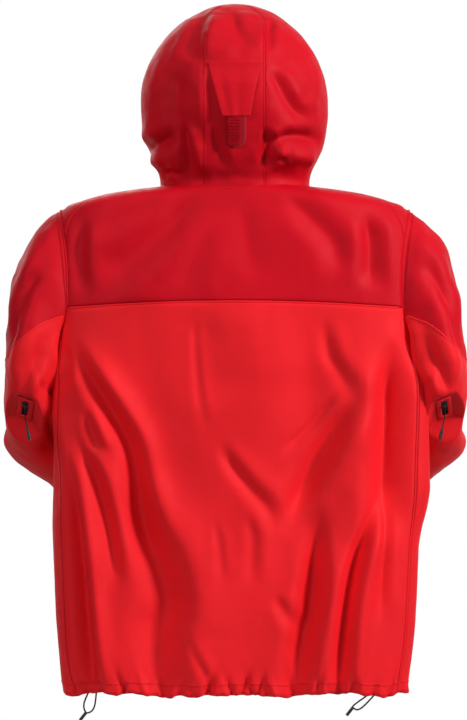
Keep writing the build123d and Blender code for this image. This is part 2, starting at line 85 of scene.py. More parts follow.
# Body rings: height, half width, y of the back, squareness
BODY = [
    (-0.757, 0.261, 0.008, 3.0),
    (-0.700, 0.267, 0.012, 3.1),
    (-0.600, 0.273, 0.014, 3.2),
    (-0.460, 0.277, 0.016, 3.4),
    (-0.300, 0.277, 0.022, 3.6),
    (-0.165, 0.268, 0.026, 3.8),
    (-0.060, 0.258, 0.022, 3.6),
    (-0.022, 0.246, 0.017, 3.2),
    (-0.006, 0.205, 0.014, 2.7),
    (0.002, 0.163, 0.012, 2.4),
    (0.008, 0.116, 0.009, 2.2),
]
HOOD = [
    (0.002, 0.113, -0.140, 0.010, 2.2),
    (0.018, 0.114, -0.142, 0.012, 2.2),
    (0.034, 0.117, -0.146, 0.025, 2.2),
    (0.068, 0.134, -0.160, 0.046, 2.2),
    (0.100, 0.139, -0.168, 0.060, 2.2),
    (0.135, 0.141, -0.174, 0.068, 2.2),
    (0.170, 0.137, -0.178, 0.068, 2.2),
    (0.210, 0.121, -0.172, 0.052, 2.1),
    (0.247, 0.092, -0.155, 0.022, 2.1),
    (0.270, 0.061, -0.132, -0.010, 2.0),
    (0.2825, 0.030, -0.104, -0.040, 2.0),
    (0.2865, 0.002, -0.074, -0.068, 2.0),
]
FACE = [(-0.02, -0.108), (0.04, -0.120), (0.11, -0.134), (0.19, -0.148), (0.3, -0.165)]

ELBOW = np.array([0.305, -0.130, -0.376])
UPPER_WAY = np.array([0.03, -0.10, -0.995])
FORE_WAY = np.array([-158.0, -158.0, -132.0])


def unit(v):
    v = np.asarray(v, float)
    return v / np.linalg.norm(v, axis=-1, keepdims=True)


UPPER_WAY, FORE_WAY = unit(UPPER_WAY), unit(FORE_WAY)
OUTWARD = unit(UPPER_WAY - FORE_WAY)
BEND = unit(np.cross(UPPER_WAY, FORE_WAY))
NARROW = unit(np.cross(BEND, FORE_WAY))
if NARROW @ OUTWARD < 0:
    NARROW = -NARROW

# ---------------------------------------------------------------- curves and grids


def ease(t):
    t = np.clip(t, 0, 1)
    return t * t * (3 - 2 * t)


def hermite(t, h, start, end, start_slope, end_slope):
    """A cubic over a stretch h, from its ends and its slopes there."""
    return (
        (2 * t**3 - 3 * t**2 + 1) * start
        + (t**3 - 2 * t**2 + t) * h * start_slope
        + (-2 * t**3 + 3 * t**2) * end
        + (t**3 - t**2) * h * end_slope
    )


def through(xs, ys, x):
    """A smooth curve through rows of numbers that never overshoots them."""
    xs, ys, x = np.asarray(xs, float), np.asarray(ys, float), np.asarray(x, float)
    if ys.ndim == 1:
        return through(xs, ys[:, None], x)[..., 0]
    h = np.diff(xs)[:, None]
    slope = np.diff(ys, axis=0) / h
    flat = slope[:-1] * slope[1:] <= 0
    mean = np.where(flat, 0, 2 * slope[:-1] * slope[1:] / np.where(flat, 1, slope[:-1] + slope[1:]))
    tangent = np.vstack([slope[:1], mean, slope[-1:]])
    k = np.clip(np.searchsorted(xs, x) - 1, 0, len(xs) - 2)
    t = np.clip((x - xs[k]) / np.diff(xs)[k], 0, 1)[..., None]
    return hermite(t, h[k], ys[k], ys[k + 1], tangent[k], tangent[k + 1])


def squared(wave, power):
    """A sine or cosine that draws a squared oval. Power 2 is round."""
    return np.sign(wave) * np.abs(wave) ** (2 / power)


QUARTER = 225  # a quarter of a ring's points


def ring_points(half, front, back, power, count=4 * QUARTER):
    """A squared oval seen from above: front centre, the wearer's left, back, right, front again."""
    a = np.linspace(0, 2 * math.pi, count)
    s, c = np.sin(a), -np.cos(a)
    x = half * squared(s, power)
    y = (front + back) / 2 + (back - front) / 2 * squared(c, power)
    return np.stack([x, y], 1)


def run_along(points):
    """The length run up to each point of a polyline."""
    return np.r_[0, np.cumsum(np.linalg.norm(np.diff(points, axis=0), axis=1))]


def share_along(points):
    run = run_along(points)
    return run / run[-1]


def along(points, shares, values=None):
    """Places at shares of a polyline's length, or the values that its points carry there."""
    values, run = points if values is None else values, share_along(points)
    return np.stack([np.interp(shares, run, values[:, i]) for i in range(values.shape[1])], -1)


def grid_normals(p):
    """Normals of a grid of points."""
    du, dv = np.gradient(p, axis=1), np.gradient(p, axis=0)
    n = np.cross(du, dv)
    return n / np.maximum(np.linalg.norm(n, axis=-1, keepdims=True), 1e-12)


def polyline_distance(x, z, points):
    """Signed distance from a polyline, and the share of its length at the nearest place."""
    best = np.full(x.shape, 1e9)
    side = np.ones(x.shape)
    share = np.zeros(x.shape)
    points = np.asarray(points, float)
    lengths = np.linalg.norm(np.diff(points, axis=0), axis=1)
    total, run = lengths.sum(), 0.0
    for a, b, length in zip(points, points[1:], lengths):
        d = (b - a) / length
        t = np.clip((x - a[0]) * d[0] + (z - a[1]) * d[1], 0, length)
        dx, dz = x - a[0] - t * d[0], z - a[1] - t * d[1]
        dist = np.hypot(dx, dz)
        near = dist < best
        best = np.where(near, dist, best)
        side = np.where(near, np.sign(d[0] * dz - d[1] * dx) + 1e-9, side)
        share = np.where(near, (run + t) / total, share)
        run += length
    return best * np.sign(side), share


def smooth_line(points, count=24):
    """A hand-drawn line, smoothed."""
    points = np.asarray(points, float)
    run = run_along(points)
    return through(run, points, np.linspace(0, run[-1], count))


def folds(x, z, strokes):
    """How far the cloth stands out at each place, from a list of drawn folds.

    Each is (points, depth, width), and can end with two lips: a groove that deep and wide, with a raised
    lip of each share on its two sides."""
    total = np.zeros(x.shape)
    for points, depth, width, *lips in strokes:
        lip_a, lip_b = lips if len(lips) == 2 else (0.45, 0.45)
        signed, share = polyline_distance(x, z, smooth_line(points))
        fade = ease(np.minimum(share, 1 - share) * 3.2)
        r = signed / (width * (0.75 + 0.5 * share))
        shape = -np.exp(-(np.abs(r) ** 1.7))
        shape += (
            lip_a * np.exp(-(np.abs(r - 1.9) ** 1.7) / 1.9)
            + lip_b * np.exp(-(np.abs(r + 1.9) ** 1.7) / 1.9)
        )
        total += depth * fade * shape
    return total


def rumple(points, size, amount, seed, stretch=(1, 1, 1)):
    """Soft irregular relief."""
    scale = np.array(stretch) / size
    flat = points.reshape(-1, 3) * scale + seed
    values = [noise.noise(Vector(p)) for p in flat]
    return amount * np.array(values).reshape(points.shape[:-1])


# ---------------------------------------------------------------- materials


class Nodes:
    """Short ways to add shader nodes."""

    def __init__(self, name):
        self.material = bpy.data.materials.new(name)
        self.material.use_nodes = True
        self.tree = self.material.node_tree
        self.shader = self.tree.nodes["Principled BSDF"]
        self.place = self.tree.nodes.new("ShaderNodeTexCoord").outputs["Object"]

    def add(self, kind, **values):
        node = self.tree.nodes.new(kind)
        for key, value in values.items():
            if key in node.inputs:
                node.inputs[key].default_value = value
            else:
                setattr(node, key, value)
        return node

    def link(self, a, b):
        self.tree.links.new(a, b)

    def noise(self, scale, detail=3.0, stretch=None):
        node = self.add("ShaderNodeTexNoise", Scale=scale, Detail=detail)
        place = self.place
        if stretch:
            mapping = self.add("ShaderNodeMapping")
            mapping.inputs["Scale"].default_value = stretch
            self.link(place, mapping.inputs["Vector"])
            place = mapping.outputs[0]
        self.link(place, node.inputs["Vector"])
        return node.outputs["Fac"]

    def wave(self, scale, direction="DIAGONAL", distortion=0.0):
        node = self.add("ShaderNodeTexWave", Scale=scale, Distortion=distortion)
        node.bands_direction = direction
        self.link(self.place, node.inputs["Vector"])
        return node.outputs["Fac"]

    def ramp(self, fac, low, high, start=0.3, end=0.7):
        node = self.add("ShaderNodeValToRGB")
        for element, position, color in zip(node.color_ramp.elements, (start, end), (low, high)):
            element.position, element.color = position, (*color, 1)
        self.link(fac, node.inputs["Fac"])
        return node.outputs["Color"]

    def grey(self, fac, low, high):
        return self.ramp(fac, (low,) * 3, (high,) * 3)

    def combine(self, operation, a, b):
        node = self.add("ShaderNodeMath", operation=operation)
        self.link(a, node.inputs[0])
        self.link(b, node.inputs[1])
        return node.outputs[0]

    def bump(self, height, distance, strength=1.0, after=None):
        node = self.add("ShaderNodeBump", Strength=strength, Distance=distance)
        self.link(height, node.inputs["Height"])
        if after:
            self.link(after, node.inputs["Normal"])
        return node.outputs["Normal"]

    def finish(self, color, normal, roughness=None, **constants):
        self.link(color, self.shader.inputs["Base Color"])
        self.link(normal, self.shader.inputs["Normal"])
        if roughness is not None:
            self.link(roughness, self.shader.inputs["Roughness"])
        for key, value in constants.items():
            self.shader.inputs[key.replace("_", " ")].default_value = value
        return self.material


def shade(color, factor):
    return tuple(min(1.0, c * factor) for c in color)


def cloth_material(name, color, coarse=1.0):
    """A woven face fabric: fine weave, soft crinkle and slight colour drift."""
    n = Nodes(name)
    tint = n.ramp(n.noise(7.0, 4.0), shade(color, 0.93), shade(color, 1.06))
    crinkle = n.noise(95.0, 4.0)
    soft = n.noise(26.0, 2.0)
    weave_a = n.wave(900.0 / coarse, "X")
    weave_b = n.wave(900.0 / coarse, "Z")
    weave = n.combine("ADD", weave_a, weave_b)
    normal = n.bump(soft, 0.0012, 0.35)
    normal = n.bump(crinkle, 0.0005, 0.45, normal)
    normal = n.bump(weave, 0.00006, 0.5, normal)
    rough = n.grey(n.noise(60.0, 2.0), 0.50, 0.62)
    return n.finish(tint, normal, rough, Sheen_Weight=0.0, Specular_IOR_Level=0.12)


def ribbed_material(name, color, pitch, direction="Z", depth=0.0004):
    """Webbing or tape with ribs."""
    n = Nodes(name)
    rib = n.wave(math.pi / pitch / 10, direction)
    tint = n.ramp(n.noise(300.0, 2.0), shade(color, 0.8), shade(color, 1.15))
    normal = n.bump(rib, depth, 0.9)
    normal = n.bump(n.noise(1500.0, 2.0), 0.0001, 0.5, normal)
    rough = n.grey(rib, 0.6, 0.75)
    return n.finish(tint, normal, rough, Specular_IOR_Level=0.06)


def plastic_material(name, color, rough=0.42):
    """Moulded plastic with a fine grain and a patchy tone."""
    n = Nodes(name)
    tint = n.ramp(n.noise(160.0, 3.0), shade(color, 0.85), shade(color, 1.4))
    normal = n.bump(n.noise(2200.0, 2.0), 0.00005, 0.4)
    vary = n.grey(n.noise(400.0, 3.0), rough - 0.06, rough + 0.1)
    return n.finish(tint, normal, vary)


def metal_material(name, color):
    """Black-painted zip metal."""
    n = Nodes(name)
    tint = n.ramp(n.noise(500.0, 3.0), shade(color, 0.8), shade(color, 1.3))
    normal = n.bump(n.noise(1800.0, 2.0), 0.00003, 0.3)
    vary = n.grey(n.noise(600.0, 3.0), 0.28, 0.42)
    return n.finish(tint, normal, vary, Metallic=0.35)


def loop_material(name, color):
    """Brushed loop pile."""
    n = Nodes(name)
    pile = n.noise(1400.0, 4.0)
    # Random fibre speckle whose colour follows the bump: darker in the pile's low places as painted shade,
    # lighter on its high places as painted highlight.
    tint = n.ramp(pile, shade(color, 0.55), shade(color, 1.3))
    return n.finish(tint, n.bump(pile, 0.0006, 1.0), n.grey(pile, 0.8, 0.95), Sheen_Weight=0.04)


def cord_material(name, color):
    """Braided cord: two crossed sets of strands."""
    n = Nodes(name)
    a = n.wave(420.0, "DIAGONAL", 1.0)
    b = n.wave(380.0, "X", 1.0)
    both = n.combine("MULTIPLY", a, b)
    # The strands' colour follows their bump: lighter on the raised strands as painted highlight, darker in
    # the gaps between them as painted shade.
    tint = n.ramp(both, shade(color, 0.6), shade(color, 2.2), 0.2, 0.9)
    return n.finish(tint, n.bump(both, 0.0002, 0.8), n.grey(a, 0.6, 0.78))


CRIMSON = (0.60, 0.002, 0.012)
BRIGHT = (0.86, 0.013, 0.020)
BLACK = (0.012, 0.012, 0.014)
crimson = cloth_material("crimson_face", CRIMSON)
bright = cloth_material("bright_face", BRIGHT)
crimson_lining = cloth_material("crimson_hem", shade(CRIMSON, 0.9), 1.4)
mesh_lining = cloth_material("pocket_mesh", (0.25, 0.006, 0.012), 3.0)
thread = ribbed_material("red_thread", shade(CRIMSON, 0.95), 0.0008)
bright_thread = ribbed_material("bright_thread", shade(BRIGHT, 0.95), 0.0008)
webbing = ribbed_material("red_webbing", (0.42, 0.004, 0.012), 0.0021, "Z", 0.0006)
tape = ribbed_material("zip_tape", (0.014, 0.013, 0.015), 0.0012, "Z")
loop_pile = loop_material("loop_pile", (0.52, 0.003, 0.012))
plastic = plastic_material("black_plastic", BLACK)
tooth_plastic = plastic_material("tooth_plastic", (0.02, 0.02, 0.022), 0.3)
metal = metal_material("zip_metal", (0.03, 0.03, 0.033))
cord = cord_material("black_cord", (0.005, 0.005, 0.006))

# ---------------------------------------------------------------- mesh helpers


def make_mesh(name, vertices, faces, material, smooth=True):
    mesh = bpy.data.meshes.new(name)
    mesh.from_pydata([tuple(v) for v in np.asarray(vertices).reshape(-1, 3)], [], faces)
    mesh.validate()
    mesh.update()
    if smooth:
        mesh.polygons.foreach_set("use_smooth", [True] * len(mesh.polygons))
    obj = bpy.data.objects.new(name, mesh)
    bpy.context.scene.collection.objects.link(obj)
    mesh.materials.append(material)
    return obj


def grid_faces(rows, cols, closed=False, flip=False):
    r, c = np.meshgrid(np.arange(rows - 1), np.arange(cols if closed else cols - 1), indexing="ij")
    n = (c + 1) % cols
    quads = np.stack([r * cols + c, r * cols + n, (r + 1) * cols + n, (r + 1) * cols + c], -1).reshape(-1, 4)
    return [tuple(int(i) for i in q) for q in (quads[:, ::-1] if flip else quads)]


def thicken(obj, thick, offset=-1):
    m = obj.modifiers.new("thick", "SOLIDIFY")
    m.thickness, m.offset = thick, offset


def cloth_piece(name, grid, material, closed=False, flip=False, thick=0.0008):
    """A panel of cloth from a grid of points, a little thick."""
    rows, cols = grid.shape[:2]
    obj = make_mesh(name, grid, grid_faces(rows, cols, closed, flip), material)
    if thick:
        thicken(obj, thick)
    return obj


def fit(obj, body, node=None):
    """Hides the CAD node a piece stands for, and attaches the piece to the body it moves with; for anything
    but a body's name, it only bakes the piece's transform.
    """
    if node:
        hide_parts(node)
    if isinstance(body, str):
        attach(obj, body)
    else:
        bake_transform(obj)
    return obj


def lifted(points, normals, lift=STITCH_LIFT):
    """A line that much off the cloth, with its normals."""
    return points + normals * lift, normals


def stitches(name, lines, material, spacing=0.0036, length=0.0026, radius=0.00032):
    """Sewing thread: short stitches along lines of (points, normals)."""
    vertices, faces = [], []
    for points, normals in lines:
        points, normals = np.asarray(points), np.asarray(normals)
        total = np.linalg.norm(np.diff(points, axis=0), axis=1).sum()
        count = max(2, int(total / spacing))
        shares = (np.arange(count) + 0.5) / count
        p = along(points, shares)
        n = unit(along(points, shares, normals))
        ahead, behind = (along(points, np.clip(shares + step, 0, 1)) for step in (0.0005, -0.0005))
        d = unit(ahead - behind + 1e-12)
        b = unit(np.cross(n, d))
        for centre, up, way, side in zip(p, n, d, b):
            k = len(vertices)
            middle = centre + up * radius * 0.5
            vertices += [middle - way * length / 2, middle + way * length / 2]
            for t in range(4):
                turn = math.pi / 4 + t * math.pi / 2
                rim = side * math.cos(turn) * radius + up * math.sin(turn) * radius
                vertices += [middle - way * length * 0.32 + rim, middle + way * length * 0.32 + rim]
            for t in range(4):
                a, c = k + 2 + 2 * t, k + 2 + 2 * ((t + 1) % 4)
                faces += [(k, a, c), (k + 1, c + 1, a + 1), (a, a + 1, c + 1, c)]
    return make_mesh(name, vertices, faces, material)


def mirror_grid(grid):
    out = grid.copy()
    out[..., 0] *= -1
    return out


# ---------------------------------------------------------------- drawn folds, x and z

# The points of BACK_FOLDS and HOOD_FOLDS were picked on the photograph, then turned into metres and
# written into the two lists by a program. YOKE_FOLDS, FRONT_FOLDS and SLEEVE_FOLDS were typed in.

BACK_DEPTH, HOOD_DEPTH, SLEEVE_DEPTH = 1.3, 1.3, 1.4  # how much deeper each list's folds are made
BACK_FOLDS = [
    (
        [
            (0.250, -0.215), (0.233, -0.251), (0.205, -0.299), (0.180, -0.340), (0.157, -0.386),
            (0.147, -0.436), (0.137, -0.491), (0.122, -0.560),
        ],
        0.015, 0.0129, 0.3, 0.8,
    ),
    (
        [
            (0.172, -0.400), (0.156, -0.464), (0.133, -0.522), (0.110, -0.576), (0.102, -0.619),
            (0.114, -0.665), (0.115, -0.719), (0.118, -0.860),
        ],
        0.017, 0.0269, 0.3, 0.7,
    ),
    (
        [
            (0.249, -0.371), (0.243, -0.429), (0.236, -0.487), (0.230, -0.545), (0.224, -0.623),
            (0.218, -0.700), (0.214, -0.750), (0.209, -0.860),
        ],
        0.015, 0.0097, 0.3, 0.8,
    ),
    (
        [
            (0.236, -0.360), (0.227, -0.390), (0.206, -0.436), (0.193, -0.487), (0.182, -0.545),
            (0.175, -0.611),
        ],
        0.011, 0.0108, 0.3, 0.7,
    ),
    ([(0.222, -0.328), (0.212, -0.363), (0.201, -0.400)], 0.006, 0.0075, 0.3, 0.7),
    ([(0.061, -0.181), (0.058, -0.254), (0.053, -0.312), (0.042, -0.367)], 0.0022, 0.0056, 0.3, 0.6),
    (
        [(0.027, -0.371), (0.004, -0.413), (-0.027, -0.452), (-0.050, -0.478), (-0.062, -0.520)],
        0.006, 0.0108, 0.2, 0.5,
    ),
    ([(-0.017, -0.479), (-0.027, -0.526), (-0.023, -0.600)], 0.0035, 0.009, 0.2, 0.5),
    ([(0.030, -0.491), (0.023, -0.537), (0.019, -0.590)], 0.0022, 0.006, 0.2, 0.5),
    (
        [
            (-0.200, -0.300), (-0.182, -0.320), (-0.145, -0.373), (-0.114, -0.429), (-0.088, -0.483),
            (-0.079, -0.529),
        ],
        0.012, 0.0155, 0.3, 0.7,
    ),
    (
        [
            (-0.131, -0.460), (-0.123, -0.526), (-0.118, -0.584), (-0.112, -0.630), (-0.100, -0.684),
            (-0.092, -0.747), (-0.082, -0.860),
        ],
        0.016, 0.0155, 0.3, 0.8,
    ),
    (
        [
            (-0.223, -0.433), (-0.205, -0.487), (-0.186, -0.537), (-0.170, -0.603), (-0.163, -0.661),
            (-0.157, -0.739), (-0.151, -0.860),
        ],
        0.015, 0.0108, 0.35, 0.8,
    ),
    (
        [
            (-0.236, -0.216), (-0.234, -0.285), (-0.232, -0.344), (-0.230, -0.398), (-0.228, -0.460),
            (-0.224, -0.540),
        ],
        0.026, 0.022, 0.3, 0.6,
    ),
    ([(-0.229, -0.452), (-0.224, -0.526), (-0.220, -0.584), (-0.216, -0.661)], 0.006, 0.0077, 0.3, 0.5),
    ([(-0.133, -0.189), (-0.141, -0.243), (-0.164, -0.285), (-0.188, -0.330)], 0.005, 0.011, 0.2, 0.5),
    ([(0.054, -0.169), (0.043, -0.254), (0.025, -0.332)], 0.006, 0.0409, 0.2, 0.6),
    ([(-0.160, -0.299), (-0.116, -0.351), (-0.067, -0.400)], 0.004, 0.0069, 0.4, 0.5),
    ([(-0.057, -0.603), (-0.078, -0.638), (-0.103, -0.661)], 0.004, 0.0097, 0.3, 0.5),
    ([(0.072, -0.665), (0.058, -0.700), (0.043, -0.727), (-0.003, -0.860)], 0.004, 0.0065, 0.3, 0.5),
    ([(0.258, -0.227), (0.250, -0.270), (0.256, -0.305)], 0.004, 0.0086, 0.3, 0.5),
    ([(0.287, -0.285), (0.284, -0.351), (0.271, -0.425), (0.268, -0.506)], 0.008, 0.0108, 0.3, 0.5),
    ([(-0.090, -0.120), (-0.115, -0.300), (-0.115, -0.560), (-0.100, -0.860)], 0.010, 0.050, 0.3, 0.5),
    ([(0.150, -0.120), (0.135, -0.300), (0.130, -0.560), (0.120, -0.860)], 0.006, 0.050, 0.3, 0.3),
]
YOKE_FOLDS = [
    ([(0.045, -0.002), (0.090, -0.045), (0.150, -0.095), (0.215, -0.150)], 0.012, 0.022, 0.35, 0.6),
    ([(0.100, -0.005), (0.150, -0.035), (0.215, -0.070)], 0.005, 0.014, 0.3, 0.5),
    ([(-0.195, -0.030), (-0.205, -0.085), (-0.206, -0.155)], 0.015, 0.016, 0.4, 0.5),
    ([(-0.065, -0.002), (-0.110, -0.040), (-0.150, -0.085), (-0.168, -0.150)], 0.008, 0.018, 0.5, 0.4),
    ([(-0.01, -0.010), (-0.02, -0.080), (-0.045, -0.150)], 0.004, 0.020, 0.4, 0.4),
    ([(0.222, -0.040), (0.236, -0.100), (0.230, -0.165)], 0.008, 0.012, 0.3, 0.6),
    ([(0.030, -0.060), (0.060, -0.105), (0.085, -0.155)], 0.004, 0.016, 0.3, 0.6),
]
FRONT_FOLDS = [
    ([(0.215, -0.19), (0.185, -0.28), (0.13, -0.36), (0.11, -0.46)], 0.008, 0.013),
    ([(-0.215, -0.18), (-0.18, -0.27), (-0.135, -0.35), (-0.115, -0.48)], 0.008, 0.013),
    ([(0.225, -0.50), (0.22, -0.60), (0.205, -0.74)], 0.009, 0.012),
    ([(-0.225, -0.52), (-0.215, -0.62), (-0.2, -0.74)], 0.009, 0.012),
    ([(0.09, -0.50), (0.08, -0.62), (0.09, -0.74)], 0.006, 0.014),
    ([(-0.09, -0.48), (-0.075, -0.60), (-0.085, -0.74)], 0.006, 0.014),
    ([(0.19, -0.04), (0.15, -0.10), (0.08, -0.15)], 0.005, 0.015),
    ([(-0.19, -0.04), (-0.15, -0.11), (-0.09, -0.17)], 0.005, 0.015),
]
HOOD_FOLDS = [
    (
        [(0.051, 0.277), (0.047, 0.258), (0.056, 0.237), (0.064, 0.205), (0.068, 0.186)],
        0.006, 0.0105, 0.3, 0.7,
    ),
    ([(-0.054, 0.260), (-0.052, 0.226), (-0.051, 0.201)], 0.005, 0.0058, 0.5, 0.5),
    ([(0.006, 0.272), (-0.004, 0.237), (-0.024, 0.207)], 0.004, 0.0094, 0.3, 0.5),
    (
        [(0.080, 0.205), (0.090, 0.159), (0.090, 0.121), (0.076, 0.083), (0.057, 0.047)],
        0.012, 0.0234, 0.2, 0.5,
    ),
    ([(0.147, 0.056), (0.137, 0.061), (0.111, 0.069), (0.084, 0.079)], 0.011, 0.0111, 0.6, 0.3),
    ([(0.084, 0.100), (0.072, 0.062), (0.063, 0.016)], 0.009, 0.0076, 0.3, 0.8),
    (
        [(-0.044, 0.052), (-0.061, 0.069), (-0.084, 0.076), (-0.110, 0.076), (-0.139, 0.070)],
        0.013, 0.0105, 0.7, 0.3,
    ),
    ([(-0.052, 0.180), (-0.071, 0.146), (-0.086, 0.119), (-0.117, 0.093)], 0.007, 0.0099, 0.2, 0.5),
    ([(-0.043, 0.096), (-0.048, 0.062), (-0.043, 0.026)], 0.008, 0.0088, 0.4, 0.6),
    ([(0.036, 0.110), (0.030, 0.079), (0.020, 0.053), (0.013, 0.020)], 0.004, 0.0070, 0.3, 0.6),
    ([(0.109, 0.026), (0.093, 0.028), (0.074, 0.020)], 0.004, 0.0047, 0.5, 0.3),
    ([(-0.060, 0.041), (-0.075, 0.053), (-0.085, 0.072)], 0.005, 0.0058, 0.4, 0.4),
]


def hem_puckers(seed, count=64):
    """Gathers where the elastic draws the hem in: short upright folds, each as (x, depth, width, height)."""
    random = np.random.default_rng(seed)
    x = np.linspace(-0.262, 0.262, count) + random.uniform(-0.004, 0.004, count)
    return np.stack(
        [
            x, random.uniform(-0.005, 0.010, count), random.uniform(0.0030, 0.0065, count),
            random.uniform(0.012, 0.034, count),
        ],
        1,
    )


def pucker_field(x, z, puckers):
    total = np.zeros(x.shape)
    for at, depth, width, height in puckers:
        lean = (z - HEM_Z) * (0.35 if int(at * 1e4) % 2 else -0.3)
        total -= depth * np.exp(-(((x - at - lean) / width) ** 2)) * np.exp(-(((z - HEM_Z) / height) ** 2))
    return total


# ---------------------------------------------------------------- the body

BODY_ROWS = 190
BODY_COLS = 330
POCKET_Z = (-0.506, -0.336)
POCKET_X = 0.176
SLOT_HALF = 0.0056
COLLAR = [
    (0.008, 0.116, 0.009, 2.2), (0.020, 0.099, 0.0045, 2.1), (0.040, 0.095, 0.003, 2.1),
    (0.062, 0.0925, 0.002, 2.1),
]


def yoke_line(x):
    """The seam between yoke and back panel arches slightly."""
    return YOKE_Z - 0.010 * (x / 0.25) ** 2


def catmull(xs, ys, x):
    """A smooth curve through points."""
    xs, ys = np.asarray(xs, float), np.asarray(ys, float)
    slope = np.gradient(ys, xs, axis=0)
    k = np.clip(np.searchsorted(xs, x) - 1, 0, len(xs) - 2)
    h = (xs[k + 1] - xs[k])[..., None]
    t = ((x - xs[k]) / (xs[k + 1] - xs[k]))[..., None]
    return hermite(t, h, ys[k], ys[k + 1], slope[k], slope[k + 1])


def armhole_curve(count=240):
    """The left armhole seam as a closed ring: over the shoulder, down the back, underarm, up the front."""
    back = np.array(
        [
            (0.264, -0.062, -0.028),
            (0.2625, -0.028, -0.044),
            (0.2560, -0.008, -0.080),
            (0.2520, 0.001, -0.135),
            (0.2540, -0.002, -0.186),
            (0.2660, -0.018, -0.220),
            (0.2790, -0.038, -0.258),
            (0.2860, -0.066, -0.286),
        ]
    )
    front = back[1:-1][::-1].copy()
    front[:, 1] = -0.124 - front[:, 1]
    once = np.vstack([back, front])
    ring = np.vstack([once[-3:], once, once[:4]])
    run = run_along(ring)
    return catmull(run, ring, np.linspace(run[3], run[3 + len(once)], count, endpoint=False))


def body_grid():
    """The body's cloth as one grid: rows run from hem to neck, columns from the left front round the back."""
    knots = np.array(BODY)
    run = np.r_[0, np.cumsum(np.hypot(np.diff(knots[:, 0]), np.diff(knots[:, 1])))]
    stops = [0, *(np.interp(z, knots[:, 0], run) for z in (*POCKET_Z, YOKE_Z)), run[-1]]
    rows = [0, 57, 96, 136, BODY_ROWS - 1]
    rings = through(run, knots, np.interp(np.arange(BODY_ROWS), rows, stops))
    grid = np.zeros((BODY_ROWS, BODY_COLS, 3))
    last, half_cols = BODY_COLS - 1, (BODY_COLS - 1) / 2
    for i, (z, half, back, power) in enumerate(rings):
        dense = ring_points(half, FRONT_Y, back, power)
        run_share = share_along(dense)
        edge = np.interp(SLOT, dense[:QUARTER, 0], run_share[:QUARTER])
        zip_shares = np.interp(
            [POCKET_X - SLOT_HALF, POCKET_X + SLOT_HALF],
            dense[:QUARTER, 0], run_share[:QUARTER],
        )
        cols = [0, *POCKET_COLS, 52, half_cols]
        even = edge + (0.5 - edge) * 52 / half_cols
        near = ease((0.25 - abs(z + 0.421)) / 0.12)
        plain = edge + (0.5 - edge) * np.array(POCKET_COLS) / half_cols
        marks = [edge, *(plain + (zip_shares - plain) * near), even, 0.5]
        share = np.interp(
            np.arange(BODY_COLS),
            [*cols, *(last - np.array(cols[-2::-1]))],
            [*marks, *(1 - np.array(marks[-2::-1]))],
        )
        grid[i, :, :2] = along(dense, share)
        grid[i, :, 2] = z
    row = np.arange(BODY_ROWS)[:, None]
    pull = np.exp(-(((row - rows[3]) / 22.0) ** 2))
    on_back = ease((grid[..., 1] + 0.07) / 0.05)
    grid[..., 2] += pull * (-0.010 * (grid[..., 0] / 0.25) ** 2) * on_back
    return grid, rows[3], rows[1], rows[2]


POCKET_COLS = (36, 38)


def nearest(points, ring, limit=0.06):
    """How far each grid point is from a ring, at most the limit, and which ring point is nearest."""
    flat = points.reshape(-1, 3)
    dist = np.full(len(flat), limit)
    which = np.zeros(len(flat), int)
    lo, hi = ring.min(0) - limit, ring.max(0) + limit
    near = np.where(((flat > lo) & (flat < hi)).all(1))[0]
    for part in np.array_split(near, max(1, len(near) // 4000)):
        d = np.linalg.norm(flat[part][:, None] - ring[None], axis=2)
        which[part] = d.argmin(1)
        dist[part] = np.minimum(d.min(1), limit)
    return dist.reshape(points.shape[:-1]), which.reshape(points.shape[:-1])


def fit_to_ring(grid, ring, reach=0.036):
    """Draws the surface onto a ring, and says how near each point is to it."""
    dist, which = nearest(grid, ring)
    flat = grid.reshape(-1, 3)
    tree = BVHTree.FromPolygons([tuple(p) for p in flat], grid_faces(*grid.shape[:2]))
    offset = np.zeros_like(ring)
    for k, p in enumerate(ring):
        place = tree.find_nearest(Vector(p))[0]
        offset[k] = p - np.array(place)
    return grid + offset[which] * ease(1 - dist / reach)[..., None], dist


def back_normals(grid):
    """Normals of the body's or the collar's grid that point out of the jacket."""
    n = grid_normals(grid)
    return -n if n[5, BODY_COLS // 2, 1] < 0 else n


